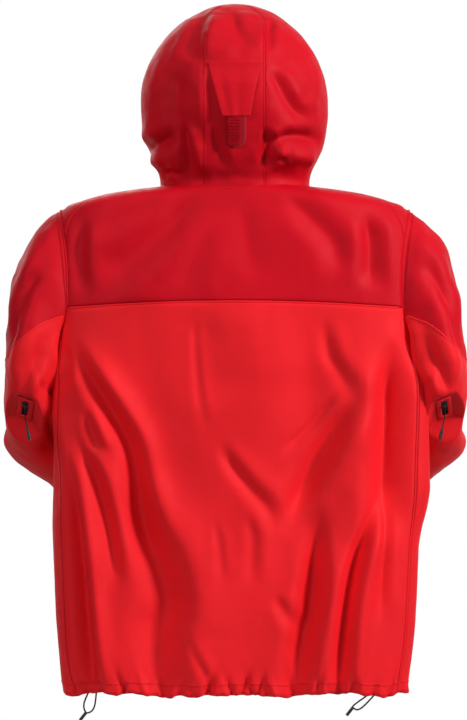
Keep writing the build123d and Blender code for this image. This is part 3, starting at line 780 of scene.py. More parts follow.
def drape(grid, calm_near):
    """Pushes the body's cloth in and out along its normals."""
    n = back_normals(grid)
    x, z = grid[..., 0], grid[..., 2]
    back = ease((n[..., 1] + 0.15) / 0.5)
    facing_front = ease((-n[..., 1] + 0.1) / 0.5)
    front_edge = ease((np.abs(x) - 0.016) / 0.05)
    pocket = np.maximum(
        np.abs(np.abs(x) - POCKET_X) - 0.012, np.maximum(z - POCKET_Z[1], POCKET_Z[0] - z) - 0.005,
    )
    off_pocket = 1 - facing_front * (1 - ease(pocket / 0.03))
    front = facing_front * front_edge * off_pocket
    side = ease((np.abs(n[..., 0]) - 0.3) / 0.5)
    below = ease((-0.160 - z) / 0.02)
    move = folds(x, z, BACK_FOLDS) * BACK_DEPTH * back * (0.12 + 0.88 * below)
    move += folds(x, z, YOKE_FOLDS) * back * (1 - 0.7 * below)
    move += folds(x, z, FRONT_FOLDS) * front
    wide = rumple(grid, 0.085, 0.0046, 3.0, (1, 1, 0.34))
    fine = rumple(grid, 0.030, 0.0011, 11.0, (1, 1, 0.45)) + rumple(grid, 0.013, 0.0004, 17.0, (1, 1, 0.6))
    calm = ease((-0.02 - z) / 0.08)
    on_front = np.where(n[..., 1] < 0.1, front_edge * off_pocket, 1.0)
    move += (wide + fine) * (0.35 + 0.65 * calm) * (0.6 + 0.4 * side) * on_front
    near_hem = np.exp(-(((z - HEM_Z) / 0.05) ** 2))
    spread = (
        pucker_field(x, z, hem_puckers(5)) * back
        + pucker_field(x, z, hem_puckers(9)) * facing_front * front_edge
    )
    move = move * (1 - 0.35 * near_hem) + spread
    seam = z - np.where(back > 0.3, yoke_line(x), YOKE_Z)
    move -= 0.0014 * np.exp(-((seam / 0.003) ** 2)) * (1 - 0.8 * (1 - front_edge))
    move *= ease((0.008 - z) / 0.02)
    move *= ease((calm_near - 0.002) / 0.035)
    out = grid + n * move[..., None]
    wave = 0.0035 * np.sin(x * 38 + 1.0) + 0.002 * np.sin(x * 95 + 0.4) + 0.0016 * np.sin(x * 170)
    low = np.exp(-(((z - HEM_Z) / 0.03) ** 2))
    out[..., 2] += (wave * 0.8 - 0.001) * low * front_edge
    return out


body, seam_row, pocket_low, pocket_high = body_grid()
arm_ring = armhole_curve()
arm_ring_right = arm_ring * [-1, 1, 1]
body, near_left = fit_to_ring(body, arm_ring)
body, near_right = fit_to_ring(body, arm_ring_right)


def index_ring(ring):
    """A ring's places on the body grid, as rows and columns."""
    half = slice(0, BODY_COLS // 2) if ring[0, 0] > 0 else slice(BODY_COLS // 2, BODY_COLS)
    part = body[:, half]
    out = []
    for p in ring[::6]:
        k = np.argmin(((part - p) ** 2).sum(-1))
        out.append((k // part.shape[1], k % part.shape[1] + half.start))
    return np.array(out, float)


def inside(points, ring):
    """Which points lie inside a closed ring, both flat."""
    hit = np.zeros(len(points), bool)
    for a, b in zip(ring, np.roll(ring, -1, axis=0)):
        if a[1] == b[1]:
            continue
        crosses = (a[1] > points[:, 1]) != (b[1] > points[:, 1])
        hit ^= crosses & (points[:, 0] < (b[0] - a[0]) * (points[:, 1] - a[1]) / (b[1] - a[1]) + a[0])
    return hit


rows_cols = np.stack(
    np.meshgrid(np.arange(BODY_ROWS), np.arange(BODY_COLS), indexing="ij"), -1,
).reshape(-1, 2)
in_hole = np.zeros(len(rows_cols), bool)
for ring in (arm_ring, arm_ring_right):
    in_hole |= inside(rows_cols + 0.013, index_ring(ring))
in_hole = in_hole.reshape(BODY_ROWS, BODY_COLS)
body = drape(body, np.minimum(near_left, near_right))
# the cut edge of each armhole lies on its seam
grown = in_hole.copy()
for shift in ((1, 0), (-1, 0), (0, 1), (0, -1), (1, 1), (-1, -1), (1, -1), (-1, 1)):
    grown |= np.roll(in_hole, shift, (0, 1))
rim = grown & ~in_hole
for r, c in zip(*np.where(rim)):
    ring = arm_ring if body[r, c, 0] > 0 else arm_ring_right
    body[r, c] = ring[np.argmin(((ring - body[r, c]) ** 2).sum(1))]
body_n = back_normals(body)


def column_at(row, x, on_back):
    """The column nearest to a place on one row."""
    p = body[row]
    right_side = (p[:, 1] > MIDDLE_Y) if on_back else (p[:, 1] < MIDDLE_Y)
    return int(np.argmin(np.where(right_side, np.abs(p[:, 0] - x), 9)))


last = BODY_COLS - 1
top = BODY_ROWS - 1
left_front, left_back = 52, column_at(seam_row // 2, 0.262, True)
right_back, right_front = last - left_back, last - left_front


def body_piece(name, rows, cols, material, node):
    """A panel of the body, with the armhole and the pocket's slot left open."""
    (r0, r1), (c0, c1) = rows, cols
    grid = body[r0 : r1 + 1, c0 : c1 + 1]
    faces = []
    for face in grid_faces(*grid.shape[:2]):
        r, c = face[0] // grid.shape[1] + r0, face[0] % grid.shape[1] + c0
        if in_hole[r : r + 2, c : c + 2].any():
            continue
        slot_col = POCKET_COLS[0] <= c < POCKET_COLS[1] or POCKET_COLS[0] <= last - 1 - c < POCKET_COLS[1]
        if slot_col and pocket_low <= r < pocket_high:
            continue
        faces.append(face)
    obj = make_mesh(name, grid, faces, material)
    tidy(obj)
    thicken(obj, CLOTH, -1 if outward(obj) else 1)
    fit(obj, "shell", node=node)


def tidy(obj):
    """Removes points that no face uses, and doubled ones."""
    bm = bmesh.new()
    bm.from_mesh(obj.data)
    bmesh.ops.delete(bm, geom=[v for v in bm.verts if not v.link_faces], context="VERTS")
    bmesh.ops.remove_doubles(bm, verts=bm.verts, dist=0.00002)
    bm.to_mesh(obj.data)
    bm.free()
    obj.data.polygons.foreach_set("use_smooth", [True] * len(obj.data.polygons))


def outward(obj):
    """Whether a panel's own normals point away from the middle of the jacket."""
    faces = list(obj.data.polygons)
    total = 0.0
    for p in faces[:: max(1, len(faces) // 200)]:
        total += p.normal.dot((p.center - Vector((0, MIDDLE_Y, p.center.z))).normalized())
    return total > 0


body_piece("back_panel_cloth", (0, seam_row), (left_back, right_back), bright, "back_panel")
body_piece(
    "side_panel_cloth_left", (0, seam_row), (left_front, left_back), bright, "side_panel_left",
)
body_piece(
    "side_panel_cloth_right", (0, seam_row), (right_back, right_front), bright,
    "side_panel_right",
)
body_piece("front_panel_cloth_left", (0, seam_row), (0, left_front), bright, "front_panel_left")
body_piece(
    "front_panel_cloth_right", (0, seam_row), (right_front, last), bright, "front_panel_right",
)
body_piece("back_yoke_cloth", (seam_row, top), (left_back, right_back), crimson, "back_yoke")
body_piece("front_yoke_cloth_left", (seam_row, top), (0, left_back), crimson, "front_yoke_left")
body_piece(
    "front_yoke_cloth_right", (seam_row, top), (right_back, last), crimson, "front_yoke_right",
)

# ---------------------------------------------------------------- seams


def seam_ridge(name, lines, material, width=0.0016, height=0.0007, closed=False):
    """Rounded ridges where cloth is folded and taped at a seam."""
    vertices, faces = [], []
    for points, normals in lines:
        points, normals = np.asarray(points), unit(normals)
        way = np.roll(points, -1, 0) - np.roll(points, 1, 0) if closed else np.gradient(points, axis=0)
        side = unit(np.cross(normals, way))
        k, n = len(vertices), len(points)
        for across, up in ((-1, -0.3), (-0.6, 0.75), (0, 1), (0.6, 0.75), (1, -0.3)):
            vertices += list(points + side * across * width + normals * up * height)
        for j in range(4):
            for i in range(n if closed else n - 1):
                m = (i + 1) % n
                faces.append((k + j * n + i, k + j * n + m, k + (j + 1) * n + m, k + (j + 1) * n + i))
    return make_mesh(name, vertices, faces, material)


def body_row(row, c0, c1, lift=0.0006, up=0.0):
    """A line along one row of the body, off its surface."""
    p, n = body[row, c0 : c1 + 1].copy(), body_n[row, c0 : c1 + 1]
    if up:
        step = unit(body[row + 1, c0 : c1 + 1] - p)
        p = p + step * up
    return p + n * lift, n


def body_column(col, r0, r1, lift=0.0006, across=0.0):
    p, n = body[r0 : r1 + 1, col].copy(), body_n[r0 : r1 + 1, col]
    if across:
        p = p + unit(body[r0 : r1 + 1, col + 1] - p) * across
    return p + n * lift, n


def clear_of_holes(line, row, c0, c1):
    """The stretches of a row's line that aren't inside an armhole."""
    keep = ~grown[row, c0 : c1 + 1]
    out, start = [], None
    for i, k in enumerate([*keep, False]):
        if k and start is None:
            start = i
        if not k and start is not None:
            if i - start > 3:
                out.append((line[0][start:i], line[1][start:i]))
            start = None
    return out


yoke_lines = clear_of_holes(body_row(seam_row, 1, last - 1), seam_row, 1, last - 1)
ridges = [seam_ridge("yoke_seam", yoke_lines, bright, 0.0014, 0.0006)]
sewn = clear_of_holes(body_row(seam_row, 1, last - 1, 0.0003, 0.0032), seam_row, 1, last - 1)
ridges.append(stitches("yoke_stitches", sewn, thread))
hem_top = 4
hem_lines = [body_row(hem_top, 4, last - 4, 0.0002)]
ridges.append(seam_ridge("hem_seam", hem_lines, bright, 0.0008, 0.0003))
ridges.append(
    stitches(
        "hem_stitches",
        [body_row(hem_top, 4, last - 4, 0.0003, -0.0016), body_row(1, 4, last - 4, 0.0002)],
        bright_thread,
    )
)
columns = []
for c in (left_back, right_back, left_front, right_front):
    hole = np.where(grown[:, c])[0]
    high = int(hole[0]) - 1 if len(hole) else seam_row
    columns.append((c, min(high, seam_row)))
ridges.append(
    seam_ridge("side_seams", [body_column(c, 0, high) for c, high in columns], bright, 0.0013, 0.0005)
)
ridges.append(
    stitches("side_stitches", [body_column(c, 0, high, 0.0003, 0.0030) for c, high in columns], bright_thread)
)
for obj in ridges:
    fit(obj, "shell")

# ---------------------------------------------------------------- collar, front flap, hem


def collar_grid():
    knots = np.array(COLLAR)
    heights = np.linspace(knots[0, 0], knots[-1, 0], 16)
    rings = through(knots[:, 0], knots, heights)
    grid = np.zeros((16, BODY_COLS, 3))
    for i, (z, half, back, power) in enumerate(rings):
        dense = ring_points(half, FRONT_Y, back, power)
        edge = np.interp(SLOT, dense[:QUARTER, 0], share_along(dense)[:QUARTER])
        grid[i, :, :2] = along(dense, np.linspace(edge, 1 - edge, BODY_COLS))
        grid[i, :, 2] = z
    join = ease(1 - np.arange(16) / 3.0)[:, None, None]
    grid = grid * (1 - join) + (body[-1] + (grid - grid[0])) * join
    sway = rumple(grid, 0.03, 0.0012, 71.0) * ease((grid[..., 2] - 0.012) / 0.02) * ease(
        (np.abs(grid[..., 0]) - 0.02) / 0.03
    )
    middle = np.array([0, -0.072, 0.03])
    return grid + unit((grid - middle) * [1, 1, 0]) * sway[..., None]


collar = collar_grid()
collar_n = back_normals(collar)
# the top edge is folded over and runs down inside
fold = [
    collar[-1] + [0, 0, 0.0009], collar[-1] - collar_n[-1] * 0.0016, collar[-4] - collar_n[-4] * 0.0018,
    collar[0] - collar_n[0] * 0.0018,
]
collar_obj = cloth_piece(
    "collar_cloth", np.concatenate([collar, np.array(fold)]), crimson, thick=0,
)
fit(collar_obj, "shell", node="collar")
fit(stitches("collar_stitches", [lifted(collar[-3, 3:-3], collar_n[-3, 3:-3])], thread), "shell")


def strip(name, profile, heights, material, wave=0.0, thick=0.0011, flip=False):
    """A long upright strip with a profile in x and y."""
    profile = np.asarray(profile)
    grid = np.zeros((len(heights), len(profile), 3))
    grid[..., :2] = profile
    grid[..., 2] = heights[:, None]
    grid[..., 1] += wave * np.sin(grid[..., 2] * 70) * np.sin(grid[..., 2] * 23 + 1)
    return cloth_piece(name, grid, material, flip=flip, thick=thick)


flap_profile = [(x, -0.1374) for x in np.linspace(-0.0238, 0.0122, 9)] + [
    (0.0142, -0.1384), (0.0150, -0.1405), (0.0153, -0.1430),
]
storm = strip(
    "storm_flap_cloth", flap_profile, np.linspace(-0.7445, 0.0632, 260), crimson_lining,
    0.0003,
)
fit(storm, "shell", node="storm_flap")


def hem_grid():
    """The hem turned up inside: from the edge, round the tunnel and up to its stitching."""
    cols = slice(6, last - 5)
    out = [body[0, cols] - body_n[0, cols] * 0.0010]
    for up, deep in (
        (-0.0004, 0.0035), (0.0006, 0.0060), (0.006, 0.0070), (0.014, 0.0068), (0.0205, 0.0062),
        (0.0222, 0.0045), (0.0226, 0.0012),
    ):
        row = min(int(up / 0.0042), hem_top)
        p = body[row, cols] - body_n[row, cols] * deep
        p[:, 2] = body[0, cols, 2] + up
        out.append(p)
    return np.array(out)


facing = cloth_piece("hem_facing_cloth", hem_grid(), crimson_lining, thick=0.0004)
fit(facing, "shell", node="hem_facing")


def tube(name, points, radius, material, sides=8):
    """A round cord along points."""
    points = np.asarray(points)
    way = unit(np.gradient(points, axis=0))
    side = unit(np.cross(way, [0.0, 0.0, 1.0]))
    up = np.cross(side, way)
    turn = np.linspace(0, 2 * math.pi, sides, endpoint=False)
    grid = points[:, None] + radius * (
        np.cos(turn)[:, None] * side[:, None] + np.sin(turn)[:, None] * up[:, None]
    )
    return make_mesh(name, grid, grid_faces(len(points), sides, True), material)


inner = slice(10, last - 9)
draw = tube("hem_drawcord_braid", body[2, inner] - body_n[2, inner] * 0.0036, CORD_R, cord)
fit(draw, "shell", "hem_drawcord")

# ---------------------------------------------------------------- zips


class Frame:
    """A place on the jacket: x across a zip, y up it, z out of the cloth."""

    def __init__(self, origin, x, y, sign=1):
        flip = np.array([sign, 1, 1])
        self.origin = np.array(origin) * flip
        self.x, self.y = unit(x) * flip, unit(y) * flip
        self.z = unit(np.cross(unit(x), unit(y))) * flip

    def points(self, local):
        local = np.asarray(local, float)
        return self.origin + local[..., :1] * self.x + local[..., 1:2] * self.y + local[..., 2:3] * self.z


def zip_tape(name, frame, length, half, level, node):
    """Two woven tapes with a raised cord along their inner edges."""
    grids = []
    rows = np.linspace(0, length, max(12, int(length / 0.006)))
    for sign in (1, -1):
        across = np.array([0.0016, 0.0022, 0.0030, 0.0045, half * 0.6, half])
        rise = np.array([0.0004, 0.0009, 0.0003, 0.0, 0.0, 0.0])
        grid = np.zeros((len(rows), len(across), 3))
        grid[..., 0] = across * sign
        grid[..., 1] = rows[:, None]
        grid[..., 2] = level + rise
        grids.append((frame.points(grid), sign < 0))
    vertices, faces = [], []
    for grid, flip in grids:
        k = len(vertices)
        vertices += list(grid.reshape(-1, 3))
        faces += [tuple(k + i for i in f) for f in grid_faces(*grid.shape[:2], flip=flip)]
    obj = make_mesh(name, vertices, faces, tape)
    thicken(obj, 0.0007, 0)
    fit(obj, "shell", node=node)


TOOTH = [
    (-0.5, -0.5, -0.5), (0.5, -0.5, -0.5), (0.5, 0.5, -0.5), (-0.5, 0.5, -0.5), (-0.5, -0.5, 0.2),
    (0.5, -0.5, 0.2), (0.5, 0.5, 0.2), (-0.5, 0.5, 0.2), (-0.36, -0.3, 0.5), (0.36, -0.3, 0.5),
    (0.36, 0.3, 0.5), (-0.36, 0.3, 0.5),
]
TOOTH_FACES = [
    (3, 2, 1, 0), (0, 1, 5, 4), (1, 2, 6, 5), (2, 3, 7, 6), (3, 0, 4, 7), (4, 5, 9, 8), (5, 6, 10, 9),
    (6, 7, 11, 10), (7, 4, 8, 11), (8, 9, 10, 11),
]


def zip_teeth(name, frame, length, level, node=None, pitch=0.0026, start=0.0):
    """Moulded teeth that mesh, the two rows half a pitch apart."""
    shape = np.array(TOOTH)
    vertices, faces = [], []
    for i in range(int((length - start - 0.002) / pitch)):
        for sign, shift in ((1, 0.0), (-1, 0.5)):
            centre = np.array([sign * 0.0013, start + 0.0013 + (i + shift) * pitch, level])
            k = len(vertices)
            vertices += list(frame.points(centre + shape * [0.0031, 0.0011, 0.0021]))
            faces += [tuple(k + j for j in f) for f in TOOTH_FACES]
    fit(make_mesh(name, vertices, faces, tooth_plastic, smooth=False), "shell", node=node)


def zip_welts(name, frame, length, inner_edge, outer_edge, level):
    """Bonded lips of cloth on both sides of a zip, with a round end at the top and bottom."""
    turn = np.linspace(0, 2 * math.pi, 96, endpoint=False)
    grid = np.zeros((5, 96, 3))
    mid, half = length / 2, length / 2
    for i, (share, rise) in enumerate(
        ((0, -0.0006), (0.06, 0.0003), (0.3, 0.0006), (0.85, 0.0004), (1, -0.0004))
    ):
        wide = inner_edge + (outer_edge - inner_edge) * share
        long = half + (outer_edge - inner_edge) * (share - 0.15)
        c, s = np.cos(turn), np.sin(turn)
        grid[i, :, 0] = wide * np.sign(c) * np.abs(c) ** 0.28
        grid[i, :, 1] = mid + long * np.sign(s) * np.abs(s) ** 0.16
        grid[i, :, 2] = level + rise
    fit(cloth_piece(name, frame.points(grid), bright, closed=True, thick=0.0005), "shell")


front = Frame((0, FRONT_Y, HEM_Z), (1, 0, 0), (0, 0, 1))
zip_tape("main_zip_tape", front, 0.819, 0.018, -0.0022, "zip_tapes")
zip_teeth("main_zip_teeth", front, 0.813, -0.0022, "zip_teeth", start=0.010)
for side, sign in SIDES:
    # A helper script printed this plane's numbers from part.py.
    pocket = Frame((POCKET_X, -0.135517, POCKET_Z[0]), (0.98505, 0.17225, 0), (0, 0, 1), sign)
    long = POCKET_Z[1] - POCKET_Z[0]
    zip_tape(f"pocket_zip_tape_{side}", pocket, long, 0.012, -0.0026, f"pocket_zip_{side}")
    zip_teeth(f"pocket_zip_teeth_{side}", pocket, long, -0.0026)
    zip_welts(f"pocket_welt_{side}", pocket, long, SLOT_HALF + 0.0002, 0.0150, 0.0008)


def front_depth(x, z, depth):
    """y of the front at a place, that far inside the cloth."""
    half, back, power = np.moveaxis(through([s[0] for s in BODY], [s[1:] for s in BODY], z), -1, 0)
    middle, deep = (FRONT_Y + back) / 2, (back - FRONT_Y) / 2 - depth
    return middle - deep * (1 - np.clip(np.abs(x) / (half - depth), 0, 0.999) ** power) ** (1 / power)


def pocket_bag(side, sign):
    x, z = np.meshgrid(np.linspace(0.053, 0.213, 40), np.linspace(-0.595, -0.329, 60))
    grid = np.stack([x * sign, front_depth(x, z, 0.0117), z], -1)
    grid[..., 1] += 0.0005 * np.sin(x * 90) * np.sin(z * 60)
    obj = cloth_piece(f"pocket_bag_mesh_{side}", grid, mesh_lining, thick=0.0014)
    fit(obj, "shell", node=f"pocket_bag_{side}")


pocket_bag("left", 1)
pocket_bag("right", -1)

# ---------------------------------------------------------------- sleeves

SLEEVE_COLS = 132
SLEEVE_FOLDS = [
    ([(0.03, 70), (0.16, 60), (0.30, 35)], 0.006, 0.10),
    ([(0.06, 110), (0.20, 105), (0.34, 80), (0.44, 40)], 0.007, 0.11),
    ([(0.22, 130), (0.33, 120), (0.42, 95)], 0.007, 0.10),
    ([(0.34, 150), (0.42, 130), (0.50, 90), (0.54, 40)], 0.009, 0.11),
    ([(0.44, 180), (0.50, 150), (0.55, 110), (0.62, 70)], 0.008, 0.10),
    ([(0.54, 190), (0.60, 150), (0.68, 120)], 0.007, 0.10),
    ([(0.66, 60), (0.74, 90), (0.82, 95)], 0.004, 0.11),
    ([(0.70, 200), (0.80, 170), (0.92, 160)], 0.004, 0.11),
    ([(0.06, 300), (0.2, 280), (0.36, 270), (0.5, 230)], 0.008, 0.13),
    ([(0.36, 330), (0.46, 300), (0.56, 260)], 0.008, 0.13),
]
# A helper script printed this plane from part.py.
SIDE_ZIP = dict(
    origin=(0.319168, -0.047223, -0.338942), x=(-0.92796, 0.09006, -0.36163),
    y=(-0.12577, 0.83774, 0.53138),
)
SIDE_ZIP_LONG = 0.042
side_frames = {"left": Frame(**SIDE_ZIP), "right": Frame(**SIDE_ZIP, sign=-1)}


def sleeve_rings():
    """Rings of the left sleeve from the armhole to the cuff, each starting at its outer, upper point."""
    turn = np.linspace(0, 2 * math.pi, SLEEVE_COLS, endpoint=False)
    rings = [armhole_curve(SLEEVE_COLS)]

    def oval(centre, a, b, power=2.25):
        return centre + squared(np.cos(turn), power)[:, None] * a + squared(np.sin(turn), power)[:, None] * b

    for inner_at, outer_at, y, half in (
        ((0.264, -0.298), (0.290, -0.048), -0.062, 0.074),
        ((0.268, -0.301), (0.313, -0.075), -0.062, 0.077),
        ((0.273, -0.304), (0.333, -0.128), -0.062, 0.079),
        ((0.277, -0.307), (0.344, -0.205), -0.063, 0.080),
        ((0.274, -0.314), (0.351, -0.290), -0.068, 0.077),
        ((0.267, -0.338), (0.349, -0.345), -0.083, 0.067),
    ):
        outer_point = np.array([outer_at[0], y, outer_at[1]])
        inner_point = np.array([inner_at[0], y, inner_at[1]])
        rings.append(
            oval((outer_point + inner_point) / 2, (outer_point - inner_point) / 2, np.array([0, half, 0]))
        )
    rings.append(oval(ELBOW, OUTWARD * 0.0435, BEND * 0.048))
    for away, across, narrow in (
        (0.035, 0.050, 0.0445), (0.070, 0.050, 0.044), (0.150, 0.049, 0.043), (0.218, 0.047, 0.0405),
        (0.2575, 0.0455, 0.0385),
    ):
        rings.append(oval(ELBOW + FORE_WAY * away, NARROW * narrow, BEND * across))
    return np.array(rings)


def sleeve_grid(rows=160):
    rings = sleeve_rings()
    centres = rings.mean(1)
    run = run_along(centres)
    run[0] = -0.012
    t = np.linspace(run[0], run[-1], rows)
    flat = catmull(run, rings.reshape(len(rings), -1), t)
    return flat.reshape(rows, SLEEVE_COLS, 3), (t - run[0]) / (run[-1] - run[0])


def ring_normals(grid):
    """Outward normals of a grid whose columns close into rings."""
    n = grid_normals(np.concatenate([grid[:, -1:], grid, grid[:, :1]], 1))[:, 1:-1]
    return -n if ((grid - grid.mean(1, keepdims=True)) * n).sum() < 0 else n


def drape_sleeve(grid, share, seed):
    n = ring_normals(grid)
    s = np.repeat(share[:, None], SLEEVE_COLS, 1)
    turn = np.repeat(np.linspace(0, 360, SLEEVE_COLS, endpoint=False)[None], len(share), 0)
    move = np.zeros(s.shape)
    for points, depth, width in SLEEVE_FOLDS:
        line = [(a * 3.2, b / 100.0) for a, b in points]
        for wrap in (-3.6, 0, 3.6):
            move += folds(s * 3.2, turn / 100.0 + wrap, [(line, depth * SLEEVE_DEPTH, width)])
    move += rumple(grid, 0.055, 0.0050, seed) + rumple(grid, 0.022, 0.0016, seed + 5)
    frame = side_frames["left"]
    local = grid - frame.origin
    lx, ly, lz = local @ frame.x, local @ frame.y - SIDE_ZIP_LONG / 2, local @ frame.z
    near = np.maximum(np.abs(lx) - 0.010, np.abs(ly) - 0.024)
    move *= ease((near - 0.006) / 0.03)
    move *= ease(share / 0.05)[:, None] * ease((1 - share) / 0.05)[:, None]
    out = grid + n * move[..., None]
    # the cloth lies flat round the side zip and is pushed in under it
    limit = -0.0064 + 0.0060 * ease((near + 0.001) / 0.004) + 0.03 * ease((near - 0.004) / 0.05)
    lz = (out - frame.origin) @ frame.z
    down = np.where((np.abs(lz) < 0.03), np.minimum(0, limit - lz), 0)
    return out + frame.z * down[..., None]


def blend_span(sign):
    """Where each sleeve starts and stops bending at its elbow."""
    mitre = unit(UPPER_WAY + FORE_WAY)
    start, end = ELBOW - mitre * 0.045, ELBOW + mitre * 0.055
    return tuple(start * [sign, 1, 1]), tuple(end * [sign, 1, 1])


def colour_seam(grid, share):
    """Where the dark cloth ends on each column: a slanting line from the underarm to the outer elbow."""
    slant = np.interp(
        grid[..., 0],
        [0.240, 0.254, 0.296, 0.340, 0.360],
        [-0.176, -0.182, -0.205, -0.245, -0.265],
    )
    over = grid[..., 2] - slant
    at = np.array(
        [share[np.argmax(over[:, c] < 0)] if (over[:, c] < 0).any() else 0.45 for c in range(SLEEVE_COLS)]
    )
    at = np.clip(at, 0.006, 0.46)
    for _ in range(5):
        at = (np.roll(at, 1) + 2 * at + np.roll(at, -1)) / 4
    return at


def sleeve_pieces(side, sign):
    plain, share = sleeve_grid()
    seam = colour_seam(plain, share)
    grid = drape_sleeve(plain, share, 21.0 if sign > 0 else 33.0)

    def rows_between(start, end, count):
        shares = start[None] + (end - start)[None] * np.linspace(0, 1, count)[:, None]
        out = np.zeros((count, SLEEVE_COLS, 3))
        for c in range(SLEEVE_COLS):
            for k in range(3):
                out[:, c, k] = np.interp(shares[:, c], share, grid[:, c, k])
        return out

    zero, one = np.zeros(SLEEVE_COLS), np.ones(SLEEVE_COLS)
    cuff = one * 0.905
    parts = [rows_between(zero, seam, 70), rows_between(seam, cuff, 120), rows_between(cuff, one, 16)]
    if sign < 0:
        parts = [mirror_grid(g) for g in parts]
    upper, lower, band = parts
    forearm = f"forearm_{side}"
    elbow = ("shell", forearm, *blend_span(sign))
    for name, part, material, slot, node in (
        (f"upper_sleeve_cloth_{side}", upper, crimson, "red_upper", f"upper_sleeve_{side}"),
        (f"lower_sleeve_cloth_{side}", lower, bright, "red_body", f"lower_sleeve_{side}"),
        (f"cuff_cloth_{side}", band, bright, "red_body", f"cuff_band_{side}"),
    ):
        obj = cloth_piece(name, part, material, closed=True, flip=sign > 0, thick=CLOTH)
        fit(obj, forearm if part is band else elbow, node=node)
    # seams: armhole, colour change, cuff
    arm = armhole_curve() * [sign, 1, 1]
    arm_n = unit(arm - [sign * 0.235, MIDDLE_Y, -0.16])
    arm_n = unit(arm_n + [sign * 0.15, 0, 0])
    ridge = seam_ridge(
        f"armhole_seam_{side}",
        [(arm + arm_n * 0.0004, arm_n)],
        crimson, 0.0019, 0.0009, closed=True,
    )
    fit(ridge, "shell")
    upper_n = ring_normals(upper)
    sewn = stitches(f"armhole_stitches_{side}", [lifted(upper[i], upper_n[i]) for i in (3, 4)], thread)
    fit(sewn, "shell")
    lower_n = ring_normals(lower)
    change = seam_ridge(
        f"sleeve_seam_{side}",
        [lifted(lower[0], lower_n[0])],
        bright, 0.0014, 0.0006, closed=True,
    )
    fit(change, elbow)
    band_n = ring_normals(band)
    edge = stitches(f"cuff_stitches_{side}", [lifted(band[i], band_n[i]) for i in (1, 13)], bright_thread)
    fit(edge, forearm)


for side, sign in SIDES:
    sleeve_pieces(side, sign)
    frame = side_frames[side]
    zip_tape(f"side_zip_tape_{side}", frame, SIDE_ZIP_LONG, 0.009, -0.0026, f"side_zip_{side}")
    zip_teeth(f"side_zip_teeth_{side}", frame, SIDE_ZIP_LONG, -0.0026)
    zip_welts(f"side_zip_welt_{side}", frame, SIDE_ZIP_LONG, 0.0046, 0.0125, 0.0002)

# ---------------------------------------------------------------- cuff tabs

ACROSS = np.cross(FORE_WAY, NARROW)


def round_cuff(v, along_sleeve, swell):
    """A place on the broad outer side of the left cuff: v across it, and along from the cuff's middle."""
    half_n, half_a = 0.040 + swell, 0.0465 + swell
    u = half_n * (1 - np.clip(np.abs(v) / half_a, 0, 0.9995) ** 2.2) ** (1 / 2.2)
    centre = ELBOW + FORE_WAY * (0.238 + along_sleeve[..., None])
    return centre + u[..., None] * NARROW + v[..., None] * ACROSS


def cuff_part(name, reach, half, swell, material, sign, body_name, node, thick, round_end):
    v, w = np.meshgrid(np.linspace(*reach, 60), np.linspace(-1, 1, 16))
    from_end = np.abs(v - round_end) / half
    wide = half * np.where(from_end < 1, np.sqrt(1 - np.clip(1 - from_end, 0, 1) ** 2.6), 1)
    grid = round_cuff(v, w * wide, swell)
    if sign < 0:
        grid = mirror_grid(grid)
    obj = cloth_piece(name, grid, material, thick=thick, flip=sign < 0)
    fit(obj, body_name, node=node)
    return grid


for side, sign in SIDES:
    cuff_part(
        f"cuff_patch_pile_{side}", (-0.0452, 0.022), 0.0128, 0.0010, loop_pile, sign,
        f"forearm_{side}", f"cuff_loop_patch_{side}", 0.0008, 0.05,
    )
    tab = cuff_part(
        f"cuff_tab_moulded_{side}", (-0.034, 0.0258), 0.0108, 0.0033, plastic, sign,
        f"cuff_strap_{side}", f"cuff_tab_{side}", 0.0017, -0.034,
    )
    tab_n = grid_normals(tab) * (1 if sign > 0 else -1)
    if (tab_n[8, 30] @ (NARROW * [sign, 1, 1])) < 0:
        tab_n = -tab_n
    edge = stitches(f"cuff_tab_stitches_{side}", [lifted(tab[i, 6:], tab_n[i, 6:]) for i in (2, 13)], thread)
    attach(edge, f"cuff_strap_{side}")

# ---------------------------------------------------------------- hood

HOOD_ROWS = 118
HOOD_MIDDLE = (0, -0.05, 0.12)
EYELET = np.array([0.1285, -0.106, 0.062])


def hood_panels():
    """The hood as three grids: left side, centre strip, right side, in rows from neck to crown."""
    knots = np.array(HOOD)
    run = np.r_[0, np.cumsum(np.hypot(np.diff(knots[:, 0]), np.diff(knots[:, 1])))]
    rings = catmull(run, knots, np.linspace(0, run[-1], HOOD_ROWS))
    rings[:, 1] = np.maximum(rings[:, 1], 0.002)
    face = np.array(FACE)
    grids = [np.zeros((HOOD_ROWS, c, 3)) for c in (84, 34, 84)]
    for i, (z, half, front_y, back, power) in enumerate(rings):
        dense = ring_points(half, front_y, back, min(max(power, 2.0), 2.3))
        length = share_along(dense)
        first = np.searchsorted(dense[: 2 * QUARTER, 1], np.interp(z, face[:, 0], face[:, 1]))
        open_share = length[min(first, 2 * QUARTER - 1)]
        open_share *= math.sqrt(max(0.0, 1 - max(0.0, (z - 0.190) / 0.047) ** 2)) if z < 0.237 else 0.0
        seam_x = min(0.044, half * 0.55)
        quarter = np.searchsorted(-dense[QUARTER : 2 * QUARTER, 0], -seam_x) + QUARTER
        seam_share = length[min(quarter, 2 * QUARTER - 1)]
        spans = ((open_share, seam_share), (seam_share, 1 - seam_share), (1 - seam_share, 1 - open_share))
        for g, (a, b) in zip(grids, spans):
            g[i, :, :2] = along(dense, np.linspace(a, b, g.shape[1]))
            g[i, :, 2] = z
    return grids


